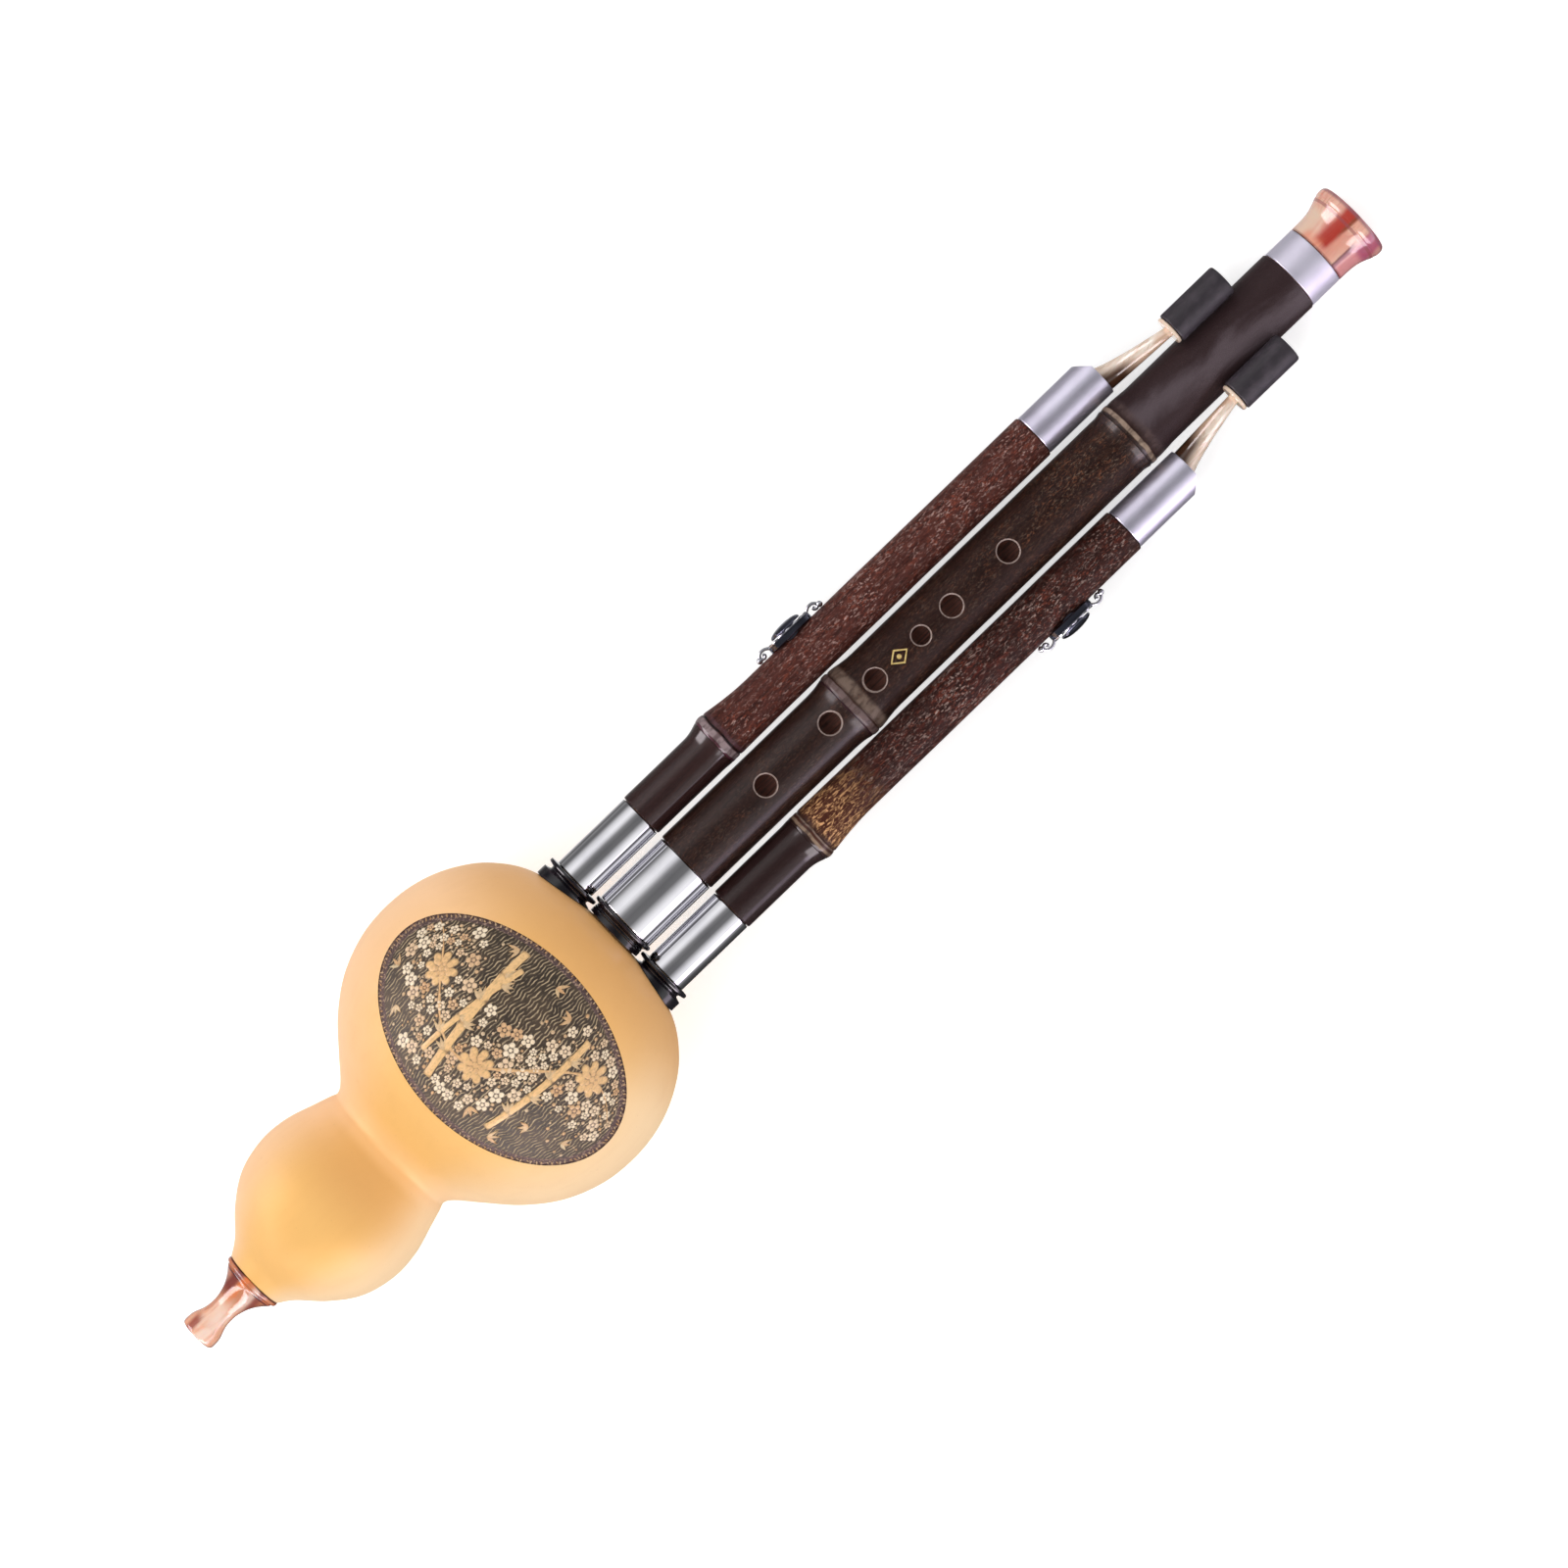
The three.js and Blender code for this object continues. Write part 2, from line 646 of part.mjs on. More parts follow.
const mainPipe = pipeValues({
  side: 0,
  radius: mainRadius,
  bore: mainBore,
  ferruleRadius: mainFerruleRadius,
  collarRadius: mainCollarRadius,
  collarFootRadius: mainCollarFootRadius,
  collarRise: mainCollarRise,
  socketBore: mainSocketBore,
  reed: mainReed,
});

function pipeGroup(name, pipe, pieces) {
  const group = new THREE.Group();
  group.add(
    piece(`${name}_socket_collar`, collar(pipe), 'black'),
    piece(`${name}_lower_ferrule`, lowerFerrule(pipe), 'chrome'),
    piece(`${name}_reed_stock`, reedStock(pipe), 'stock'),
    piece(`${name}_seal_ring`, sealRing(pipe), 'cork'),
    piece(`${name}_reed_plate`, reedPlate(pipe), 'brass'),
    piece(`${name}_reed_tongue`, reedTongue(pipe), 'brass'),
    ...pieces,
  );
  group.position.y = pipe.side * droneSpacing;
  return group;
}

function mainGroup() {
  return pipeGroup('main', mainPipe, [
    piece('main_bamboo', mainBamboo(mainPipe), 'bamboo'),
    piece('main_tip_ring', tipRing(), 'silver'),
    piece('main_bell', bell(), 'resin'),
  ]);
}

function droneGroup(name, pipe) {
  return pipeGroup(name, pipe, [
    piece(`${name}_bamboo`, droneBamboo(pipe), 'bamboo'),
    piece(`${name}_upper_ferrule`, upperFerrule(pipe), 'chrome'),
    piece(`${name}_nozzle`, nozzle(pipe), 'paleResin'),
    piece(`${name}_cap`, cap(pipe), 'rubber'),
    piece(`${name}_rosette`, rosette(pipe), 'silver'),
    piece(`${name}_stopper`, stopper(pipe), 'silver'),
  ]);
}

function instrument() {
  const tilt = restTilt();
  const body = new THREE.Group();
  body.add(
    piece('gourd_shell', gourdShell(tilt), 'gourd'),
    piece('mouthpiece', mouthpiece(), 'resin'),
    piece('mouthpiece_cork', mouthpieceCork(), 'cork'),
    mainGroup(),
    droneGroup('high_drone', droneValues(1, highRosetteShare)),
    droneGroup('low_drone', droneValues(-1, lowRosetteShare)),
  );
  body.rotation.y = tilt;
  const whole = new THREE.Group();
  whole.add(body);
  const box = new THREE.Box3().setFromObject(whole, true);
  const middle = box.getCenter(new THREE.Vector3());
  whole.position.set(-middle.x, -middle.y, -box.min.z);
  return whole;
}

export default instrument();
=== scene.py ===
import json
import math
import random

import bmesh
import bpy
import numpy as np
from mathutils import Matrix, Vector
from mathutils.geometry import interpolate_bezier


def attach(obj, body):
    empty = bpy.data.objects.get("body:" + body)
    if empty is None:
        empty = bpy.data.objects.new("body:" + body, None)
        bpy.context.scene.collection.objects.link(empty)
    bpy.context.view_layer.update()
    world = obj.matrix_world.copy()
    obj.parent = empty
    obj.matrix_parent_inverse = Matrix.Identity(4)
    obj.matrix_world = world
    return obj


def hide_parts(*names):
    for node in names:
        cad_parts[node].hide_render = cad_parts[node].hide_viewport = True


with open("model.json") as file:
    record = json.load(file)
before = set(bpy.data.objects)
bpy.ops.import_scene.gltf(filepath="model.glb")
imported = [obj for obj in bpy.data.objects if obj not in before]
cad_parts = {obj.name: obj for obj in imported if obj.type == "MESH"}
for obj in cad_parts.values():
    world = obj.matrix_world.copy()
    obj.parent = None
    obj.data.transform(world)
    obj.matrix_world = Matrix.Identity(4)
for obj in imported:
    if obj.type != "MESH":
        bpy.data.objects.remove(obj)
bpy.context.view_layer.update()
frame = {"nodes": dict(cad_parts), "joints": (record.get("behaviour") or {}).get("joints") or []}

# The instrument's own line
# A hulusi is built on one straight line, from the mouthpiece's tip to the bell's rim, with a drone at each
# side. Pieces are drawn in millimetres: X along that line from the tip, Y towards the high drone, Z to the
# front.
joints = {joint["name"]: joint for joint in frame["joints"]}
line = Vector(joints["main_turn"]["axis"]).normalized()
side = Vector((0, 1, 0))
front = line.cross(side)
pivot = Vector(joints["main_turn"]["pos_m"])
tip = min((corner.co - pivot).dot(line) for corner in frame["nodes"]["mouthpiece"].data.vertices)
turned_to = Matrix((line, side, front)).transposed().to_4x4()
lay = Matrix.Translation(pivot + tip * line) @ turned_to @ Matrix.Scale(0.001, 4)
beside = {name: 1000 * joints[name + "_turn"]["pos_m"][1] for name in ("main", "high_drone", "low_drone")}
# The drones, and the side of the main pipe that each lies on
drones = {"high_drone": 1, "low_drone": -1}


def corners_of(node):
    return [lay.inverted() @ corner.co for corner in frame["nodes"][node].data.vertices]


def reach(node):
    """Where a CAD node starts and ends along the line, and its radius about its own pipe's line."""
    off_line = next((away for pipe, away in beside.items() if node.startswith(pipe)), 0)
    places = corners_of(node)
    along = [place.x for place in places]
    return min(along), max(along), max(math.hypot(place.y - off_line, place.z) for place in places)


# Gourd
# A dried gourd with two bulbs, hollow and lacquered smooth. The mouthpiece goes into its stem end, and three
# sockets are bored through the dome. An oval panel is burnt and carved into its front, on a ground of waves.
gourd_start, gourd_end, gourd_girth = reach("gourd_shell")
gourd_length = gourd_end - gourd_start
lacquer_inset = 0.4
gourd_radius = gourd_girth - lacquer_inset
gourd_wall = 3.8
gourd_sides = 224
clearance = 0.3
mouth_bore = 7.7
socket_bores = {pipe: reach(pipe + "_seal_ring")[2] + clearance for pipe in beside}
socket_foot = gourd_end - gourd_radius / 4
# Along the gourd, and of its radius
gourd_shares = [
    (0, 0.1907), (0.0304, 0.2512), (0.0761, 0.3813), (0.1332, 0.4915), (0.2018, 0.5401), (0.2665, 0.5293),
    (0.3274, 0.4780), (0.362, 0.447), (0.3807, 0.4321), (0.4024, 0.475), (0.4364, 0.585), (0.4922, 0.755),
    (0.5603, 0.895), (0.6408, 0.98), (0.7213, 1), (0.7956, 0.97), (0.8638, 0.89), (0.9226, 0.765),
    (0.9690, 0.575), (0.9938, 0.29), (1, 0),
]


def flowing(points, steps):
    """A smooth outline through the points, with this many steps between each two."""
    ends = [Vector(points[0]), *map(Vector, points), Vector(points[-1])]
    outline = []
    for before, start, end, after in zip(ends, ends[1:], ends[2:], ends[3:]):
        leaving, arriving = start + (end - before) / 6, end - (after - start) / 6
        outline += interpolate_bezier(start, leaving, arriving, end, steps + 1)[:-1]
    return outline + [Vector(points[-1])]


def set_in(outline, depth):
    """An outline that ends on the line, moved inwards square to itself."""
    moved = []
    for before, here, after in zip(outline, outline[1:], outline[2:]):
        run = (after - before).normalized()
        moved.append(here + depth * Vector((run.y, -run.x)))
    return moved + [outline[-1] - Vector((depth, 0))]


def outward(shape):
    """Turns a shape's faces to its outside."""
    bmesh.ops.recalc_face_normals(shape, faces=shape.faces)
    return shape


def spun(places, closed, centre, axis, steps, merged_within):
    """A row of places, or a closed ring of them, spun once round an axis."""
    shape = bmesh.new()
    points = [shape.verts.new(place) for place in places]
    ring = points + points[:1] if closed else points
    edges = [shape.edges.new(pair) for pair in zip(ring, ring[1:])]
    bmesh.ops.spin(shape, geom=points + edges, cent=centre, axis=axis, angle=math.tau, steps=steps,
                   use_merge=True)
    bmesh.ops.remove_doubles(shape, verts=shape.verts, dist=merged_within)
    return shape


def turned(outline, sides, off_line=0):
    """A shape turned about a line. Its outline of (along, radius) starts and ends there, or is closed."""
    places = [(along, off_line, radius) for along, radius in outline]
    return outward(spun(places, outline[0][1] != 0, (0, off_line, 0), (1, 0, 0), sides, 0.001))


def spun_disc(outline, steps):
    """A disc from an outline of (radius, height) that starts in its middle, about Z."""
    places = [(radius, 0, height) for radius, height in outline]
    return spun(places, False, (0, 0, 0), (0, 0, 1), steps, 0.0001)


def scaled(shares, start, length, inner, outer):
    """A table of shares as (along, radius): over a length from a start, and between two radii."""
    return [(start + along * length, inner + share * (outer - inner)) for along, share in shares]


def rod(start, end, radius):
    """The outline of a solid rod, for turning."""
    return [(start, 0), (start, radius), (end, radius), (end, 0)]


def as_mesh(name, shape):
    mesh = bpy.data.meshes.new(name)
    shape.to_mesh(mesh)
    shape.free()
    return mesh


def put(name, data):
    """A new object in the scene."""
    thing = bpy.data.objects.new(name, data)
    bpy.context.scene.collection.objects.link(thing)
    return thing


def worked_out(thing):
    """A new mesh of what an object looks like with its modifiers or its bevel."""
    return bpy.data.meshes.new_from_object(thing.evaluated_get(bpy.context.evaluated_depsgraph_get()))


def loose_object(shape):
    """An object to cut or to cut with, with two empty finish slots."""
    mesh = as_mesh("loose", shape)
    mesh.materials.append(None)
    mesh.materials.append(None)
    return put("loose", mesh)


def carved(shape, *cutters):
    """The shape with the cutters' forms taken out. The cutters' faces bring their own finish slots."""
    body = loose_object(shape)
    for cutter in cutters:
        tool = loose_object(cutter)
        cut = body.modifiers.new("cut", "BOOLEAN")
        cut.object = tool
        cut.solver = "EXACT"
        whole = worked_out(body)
        body.modifiers.clear()
        body.data = whole
        bpy.data.objects.remove(tool)
    left = bmesh.new()
    left.from_mesh(body.data)
    bpy.data.objects.remove(body)
    return left


def make(name, shape, body, slot, finishes, *nodes, sharp=32):
    """Lays a shape in its place in the frame as a piece that rides on a body and stands for CAD nodes."""
    mesh = as_mesh(name, shape)
    mesh.transform(lay)
    for corner in mesh.vertices:
        corner.co.z = max(corner.co.z, 0)
    for finish in finishes:
        mesh.materials.append(finish)
    mesh.shade_smooth()
    mesh.set_sharp_from_angle(angle=math.radians(sharp))
    piece = put(name, mesh)
    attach(piece, body)
    if nodes:
        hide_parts(*nodes)


def tone(red, green, blue):
    """A colour as it shows on screen, from 0 to 255, made linear for the shaders."""
    shares = [channel / 255 for channel in (red, green, blue)]
    return (*(share / 12.92 if share < 0.04045 else ((share + 0.055) / 1.055) ** 2.4 for share in shares), 1)


def wire(kind, sockets, tree=None, **settings):
    """Adds a shader node, with its settings, and values or other nodes' outputs in its sockets."""
    outputs = [value for value in sockets.values() if isinstance(value, bpy.types.NodeSocket)]
    made = (tree or outputs[0].id_data).nodes.new("ShaderNode" + kind)
    for setting, value in settings.items():
        setattr(made, setting, value)
    for socket, value in sockets.items():
        if isinstance(value, bpy.types.NodeSocket):
            made.id_data.links.new(value, made.inputs[socket])
        else:
            made.inputs[socket].default_value = value
    return made


def figure(operation, first, second=0.0, third=0.0):
    return wire("Math", {0: first, 1: second, 2: third}, operation=operation).outputs[0]


def times(first, second):
    return figure("MULTIPLY", first, second)


def between(value, low, high):
    """0 below low, 1 above high, and smooth between them."""
    return wire("MapRange", {"Value": value, "From Min": low, "From Max": high},
                interpolation_type="SMOOTHSTEP").outputs["Result"]


def within(value, low, rising, high, falling):
    """Rises from 0 at low to 1, and falls to 0 again at high."""
    return times(between(value, low, rising), between(value, high, falling))


def as_colour(value):
    """Three numbers are a tone. A linear colour, a plain value or a node's output stays as it is."""
    return tone(*value) if isinstance(value, tuple) and len(value) == 3 else value


def mixed(share, under, over):
    """One colour over another."""
    return wire("Mix", {0: share, 6: as_colour(under), 7: as_colour(over)}, data_type="RGBA").outputs[2]


def cloudy(place, along, across, detail=3, distortion=0.0, rough=0.5):
    """Noise from 0 to 1, with so many clouds to a millimetre along the piece and across it."""
    stretched = wire("VectorMath", {0: place, 1: (along, across, across)}, operation="MULTIPLY").outputs[0]
    return wire("TexNoise", {"Vector": stretched, "Scale": 1, "Detail": detail, "Distortion": distortion,
                             "Roughness": rough}).outputs["Fac"]


class Finish:
    """A material in the making. Its place is in millimetres along, beside and in front of the line that a
    piece was turned about, and its colour is what its coats have made so far."""

    def __init__(self, name, off_line=0, **values):
        self.material = bpy.data.materials.new(name)
        self.material.use_nodes = True
        self.tree = self.material.node_tree
        self.shader = self.tree.nodes["Principled BSDF"]
        for socket, value in values.items():
            self.shader.inputs[socket.replace("_", " ")].default_value = value
        own = lay @ Matrix.Translation((0, off_line, 0))
        self.place = wire("Mapping", {
            "Vector": self.start("TexCoord").outputs["Object"], "Location": own.translation,
            "Rotation": own.to_euler(), "Scale": own.to_scale(),
        }, vector_type="TEXTURE").outputs["Vector"]
        self.along, self.beside, self.ahead = wire("SeparateXYZ", {0: self.place}).outputs
        self.colour = None

    def start(self, kind, **settings):
        """A node that nothing is wired into."""
        return wire(kind, {}, self.tree, **settings)

    def cloudy(self, *scales_and_shape):
        return cloudy(self.place, *scales_and_shape)

    def grouped(self, group, **sockets):
        """What a node group puts out here, with these colours and values in its sockets."""
        values = {socket: as_colour(value) for socket, value in sockets.items()}
        return wire("Group", {"Place": self.place, **values}, node_tree=group).outputs

    def coat(self, colour, share, strength=None):
        """Lays a colour over the ones before it, in its share of the surface."""
        self.colour = mixed(share if strength is None else times(share, strength), self.colour, colour)

    def paint_edge_shade(self, colour, low, high):
        """Painted shade at the edges: a deeper colour where the surface is seen at a slant."""
        facing = self.start("LayerWeight")
        facing.inputs["Blend"].default_value = 0.35
        self.coat(colour, between(facing.outputs["Facing"], low, high))

    def done(self, height=None, distance=0.0, **varying):
        """The material, with its relief in metres and what else varies over its surface."""
        for socket, value in {"Base_Color": self.colour, **varying}.items():
            self.tree.links.new(value, self.shader.inputs[socket.replace("_", " ")])
        if height:
            bump = wire("Bump", {"Height": height, "Distance": distance}).outputs["Normal"]
            self.tree.links.new(bump, self.shader.inputs["Normal"])
        return self.material


gourd_outline = flowing(scaled(gourd_shares, gourd_start, gourd_length, 0, gourd_radius), 9)
outline_along = [point.x for point in gourd_outline]
outline_radius = [point.y for point in gourd_outline]


def gourd_radius_at(along):
    return float(np.interp(along, outline_along, outline_radius))


# Fresh lacquer over a peach skin, ochre in the middle. The paler, rosier sides, palest towards the low drone,
# are painted reflection of the white surroundings; the deeper ochre above the waist and on the dome is
# painted shade, and the pale band in the waist a painted highlight.
lacquer = Finish("gourd_skin", Roughness=0.5, Specular_IOR_Level=0.3, Coat_Weight=0.08, Coat_Roughness=0.3)
turn_away = figure("ABSOLUTE", figure("ARCTAN2", lacquer.beside, lacquer.ahead))
painted_side_light_share = between(figure("MULTIPLY_ADD", lacquer.cloudy(0.02, 0.02, 2), 0.5, turn_away), 0.55, 1.5)
painted_side_light_tone = mixed(between(lacquer.beside, -12, 12), (255, 219, 173), (254, 205, 156))
lacquer.colour = mixed(painted_side_light_share, (238, 184, 108), painted_side_light_tone)
# Painted shade: deeper ochre on the front just above the waist
painted_shade_above_waist = times(within(lacquer.along, 55, 78, 91, 84), between(turn_away, 1.3, 0.1))
lacquer.coat((222, 166, 98), painted_shade_above_waist, 0.85)
# Painted highlight: a paler band round the waist
lacquer.coat((252, 204, 152), within(lacquer.along, 84, 90, 100, 92), 0.4)
# Painted shade: deeper ochre over the dome
lacquer.coat((226, 169, 103), between(lacquer.along, 158, 188), 0.9)
lacquer.coat((206, 144, 80), between(lacquer.cloudy(0.02, 0.16, 4, 0.4), 0.45, 0.8), 0.07)
lacquer.coat((190, 130, 78), between(lacquer.cloudy(0.9, 0.9, 2), 0.66, 0.78), 0.12)
gourd_finish = lacquer.done(lacquer.cloudy(0.05, 0.09), 0.0004)

# The burnt ground of the panel, and the places where its motifs go
panel_middle = 145.4
panel_half_length = 32.3
panel_half_width = 48.6
panel_half_girth = math.asin(panel_half_width / gourd_radius) * gourd_radius
panel_depth = 0.45
wave_pitch = 1.35
rim_share = 0.93

burnt = Finish("burnt_ground", Roughness=0.62)
from_middle = figure("SUBTRACT", burnt.along, panel_middle)
around = times(figure("ARCTAN2", burnt.beside, burnt.ahead), gourd_radius)
flat = wire("CombineXYZ", {0: from_middle, 1: around}).outputs[0]
wander = figure("MULTIPLY_ADD", cloudy(flat, 0.22, 0.1, 2), 3.2, around)
swing = times(figure("SINE", times(burnt.along, 1.15)), 0.26)
ripple = figure("SINE", times(figure("ADD", wander, swing), math.tau / wave_pitch))
crest = times(between(ripple, 0.1, 0.95), between(cloudy(flat, 0.35, 0.9, 2), 0.36, 0.6))
burnt.colour = mixed(between(cloudy(flat, 0.09, 0.09), 0.3, 0.7), (46, 37, 27), (72, 58, 44))
burnt.coat((192, 168, 134), crest)
oval = figure("SQRT", figure(
    "ADD", figure("POWER", figure("DIVIDE", from_middle, panel_half_length), 2.0),
    figure("POWER", figure("DIVIDE", around, panel_half_girth), 2.0)))
rim = between(oval, rim_share, rim_share + 0.012)
speckle = between(cloudy(flat, 0.95, 0.95, 3, 0.5), 0.5, 0.62)
burnt.coat(mixed(speckle, (84, 64, 62), (166, 136, 118)), rim)
burnt_finish = burnt.done(figure("ADD", crest, times(speckle, rim)), 0.00025)


def onto_panel(shape):
    """Wraps a flat shape, drawn as (along, around, height) from the panel's middle, onto its sunk floor."""
    for corner in shape.verts:
        along = panel_middle + corner.co.x
        radius = gourd_radius_at(along) - panel_depth + corner.co.z
        angle = corner.co.y / gourd_radius
        corner.co = (along, radius * math.sin(angle), radius * math.cos(angle))
    return outward(shape)


inner_gourd = [point for point in set_in(gourd_outline, gourd_wall)
               if point.y == 0 or (point.x > gourd_start + gourd_wall and point.y > mouth_bore)]
shell = turned([(gourd_start, mouth_bore), *gourd_outline], gourd_sides)
hollow = turned([(gourd_start - gourd_wall, 0), (gourd_start - gourd_wall, mouth_bore),
                 (gourd_start + gourd_wall, mouth_bore), *inner_gourd], gourd_sides)
sockets = [turned(rod(socket_foot, gourd_end + gourd_wall, socket_bores[pipe]), 64, off_line)
           for pipe, off_line in beside.items()]
panel_rings = 40
panel_lift = 16
stamp = spun_disc([(ring / panel_rings, 0) for ring in range(panel_rings + 1)]
                  + [(1, panel_lift), (0, panel_lift)], 200)
bmesh.ops.scale(stamp, vec=(panel_half_length, panel_half_girth, 1), verts=stamp.verts)
for face in onto_panel(stamp).faces:
    face.material_index = 1
make("gourd", carved(shell, hollow, *sockets, stamp), "gourd", "gourd", [gourd_finish, burnt_finish],
     "gourd_shell", sharp=40)

# Carved motifs of the panel
# Blossoms, leaves and berries stand up from the burnt ground to the height of the gourd's skin. They are left
# in the gourd's own colour or tinted, and follow one garland that swings from side to side across the oval.
motif_height = 0.38
motif_root = -0.15
blossom_outline = [(0, 0.75), (0.16, 0.7), (0.3, 0.3), (0.55, 0.9), (0.84, 0.97), (0.96, 0.75), (1.14, 0)]
garland_swing = 13
peony_radius = 6.2
rim_notches = 150
# Each cane's start from the panel's middle, along and around, its length, width and slant
canes = [(-25, 10, 52, 3.2, 0.13), (-20, 17.5, 42, 2.1, -0.12), (-23, -19, 44, 2.6, -0.08)]
cane_joints = 5
cane_spots = 14
half_leaf = 2.4
fan_angles = (0.5, 0.95, 1.4)
spray_angles = (-0.65, 0, 0.65)
blossom_tries, spray_tries, berry_tries = 2600, 90, 1700


def motif_finish(name, pale, deep):
    """Carved wood at the skin's height: pale on top and darker down towards the ground as painted shade in
    its cuts, each motif a little different.
    """
    wood = Finish(name, Roughness=0.5, Coat_Weight=0.2)
    own = wood.start("Attribute", attribute_name="tint").outputs["Fac"]
    rise = wood.start("Attribute", attribute_name="rise").outputs["Fac"]
    fibre = wood.cloudy(0.8, 1.6)
    wood.colour = mixed(own, pale, (214, 168, 120))
    wood.coat(deep, between(fibre, 0.4, 0.75), 0.3)
    # Painted shade: the deep colour down the motifs' sides towards the ground
    wood.coat(deep, between(rise, 0.7, 0.2))
    return wood.done(fibre, 0.00008)


def petalled(petals, radius, steps_each=5):
    """A flower of round petals about a raised eye, drawn flat, of unit height."""
    shape = spun_disc(blossom_outline, petals * steps_each)
    for corner in shape.verts:
        reach_out = math.hypot(corner.co.x, corner.co.y)
        if reach_out > 0.25:
            angle = math.atan2(corner.co.y, corner.co.x)
            swell = abs(math.sin(angle * petals / 2)) ** 0.6
            size = 1 + (0.66 + 0.34 * swell - 1) * (reach_out - 0.25) / 0.75
            corner.co.x *= size
            corner.co.y *= size
            corner.co.z *= 0.45 + 0.55 * swell
    bmesh.ops.scale(shape, vec=(radius, radius, 1), verts=shape.verts)
    return shape


def sheet(steps, across_steps, bent):
    """A sheet bent by the share of its length and by how far across it is, closed down to the ground."""
    shape = bmesh.new()
    bmesh.ops.create_grid(shape, x_segments=steps, y_segments=across_steps, size=0.5)
    for corner in shape.verts:
        corner.co = bent(corner.co.x + 0.5, corner.co.y * 2)
    border = [edge for edge in shape.edges if edge.is_boundary]
    for corner in bmesh.ops.extrude_edge_only(shape, edges=border)["geom"]:
        if isinstance(corner, bmesh.types.BMVert):
            corner.co.z = 0
    bmesh.ops.remove_doubles(shape, verts=shape.verts, dist=0.0001)
    return shape


def leaf(length, width):
    """A pointed leaf with a sunk midrib, drawn flat along X, of unit height."""
    def bent(share, across):
        half_width = width / 2 * math.sin(math.pi * share ** 0.75)
        height = 0.95 - 0.35 * abs(across) ** 3 - 0.3 * (1 - min(1, abs(across) * 3))
        return share * length, across * half_width, height
    return sheet(6, 4, bent)


def cane(length, width, joints):
    """A bamboo cane, round across and swollen at its joints, drawn flat along X, of unit height."""
    def bent(share, across):
        at_joint = abs(math.cos(math.pi * joints * share)) ** 14
        half_width = width / 2 * (0.9 + 0.25 * at_joint)
        return share * length, across * half_width, 1 - 0.25 * across ** 2 - 0.5 * at_joint
    return sheet(joints * 10, 4, bent)


def garland_at(share):
    """The bough's middle, at a share of its way from one side of the oval to the other."""
    return garland_swing * math.sin(math.tau * share * 1.15 + 0.5), panel_half_girth * (1.72 * share - 0.86)


def bough(width):
    """A bough that follows the garland, thick in its middle and thin at its ends."""
    def bent(share, across):
        here, ahead = Vector(garland_at(share)), Vector(garland_at(share + 0.01))
        square = (ahead - here).orthogonal().normalized()
        half_width = width / 2 * (0.25 + math.sin(math.pi * share)) * (1 + 0.3 * math.sin(share * 95))
        return *(here + across * half_width * square), 0.8 - 0.4 * abs(across)
    return sheet(90, 2, bent)


def placed(shape, matrix):
    bmesh.ops.transform(shape, matrix=matrix, verts=shape.verts)
    return shape


def join(whole, shape):
    """Adds a shape to another, which it may pass into, and gives the corners that it brings."""
    mesh = as_mesh("part", shape)
    known = len(whole.verts)
    whole.from_mesh(mesh)
    bpy.data.meshes.remove(mesh)
    whole.verts.ensure_lookup_table()
    return whole.verts[known:]


class Relief:
    """Motifs of one kind, gathered flat and laid on the panel together."""

    def __init__(self):
        self.shape = bmesh.new()
        self.tint = self.shape.verts.layers.float.new("tint")
        self.rise = self.shape.verts.layers.float.new("rise")

    def add(self, motif, along, around, turn, tint):
        """Puts a flat motif in its place, turned in the plane."""
        spot = Matrix.Translation((along, around, 0)) @ Matrix.Rotation(turn, 4, "Z")
        for corner in join(self.shape, placed(motif, spot)):
            corner[self.tint] = tint
            corner[self.rise] = corner.co.z
            corner.co.z = motif_root + (motif_height - motif_root) * corner.co.z


draw = random.Random(11)
taken = []


def free_spot(along, around, radius):
    """Takes a round spot if it is inside the rim band and clear of the spots taken before."""
    clear = all(math.hypot(along - x, around - y) > radius + r for x, y, r in taken)
    if clear and math.hypot(along / (panel_half_length * rim_share - radius),
                            around / (panel_half_girth * rim_share - radius)) < 1:
        taken.append((along, around, radius))
        return True
    return False


def strewn(spread_along, spread_around):
    """A spot near the garland."""
    along, around = garland_at(draw.random())
    return along + draw.gauss(0, spread_along), around + draw.gauss(0, spread_around)


def heading_to(angle):
    return Vector((math.cos(angle), math.sin(angle)))


blossoms, peonies, leaves, berries = Relief(), Relief(), Relief(), Relief()
peonies.add(bough(1.1), 0, 0, 0, 0.6)
for share in (0.17, 0.5, 0.83):
    along, around = garland_at(share)
    taken.append((along, around, peony_radius))
    for layer, (size, height) in enumerate(((1, 0.75), (0.74, 0.9), (0.46, 1))):
        petals = petalled(8 - layer, peony_radius * size)
        bmesh.ops.scale(petals, vec=(1, 1, height), verts=petals.verts)
        peonies.add(petals, along, around, layer + share, 0.1 + 0.25 * layer)
for along, around, length, width, slant in canes:
    peonies.add(cane(length, width, cane_joints), along, around, slant, 0.05)
    for step in range(cane_spots):
        away = length * step / (cane_spots - 1)
        taken.append((along + away * math.cos(slant), around + away * math.sin(slant), width * 0.6))
    for joint in range(1, cane_joints):
        root = Vector((along, around)) + length * joint / cane_joints * heading_to(slant)
        way = 1 if joint % 2 else -1
        for fan in fan_angles:
            heading = slant + way * fan
            leaves.add(leaf(4.6, 1.25), root.x, root.y, heading, 0.4)
            middle = root + half_leaf * heading_to(heading)
            taken.append((middle.x, middle.y, 1.4))
for attempt in range(blossom_tries):
    along, around = strewn(6, 2.5)
    radius = draw.uniform(1.3, 2.7)
    if free_spot(along, around, radius * 0.9):
        blossoms.add(petalled(5, radius, 4), along, around, draw.uniform(0, math.tau), draw.random() ** 2)
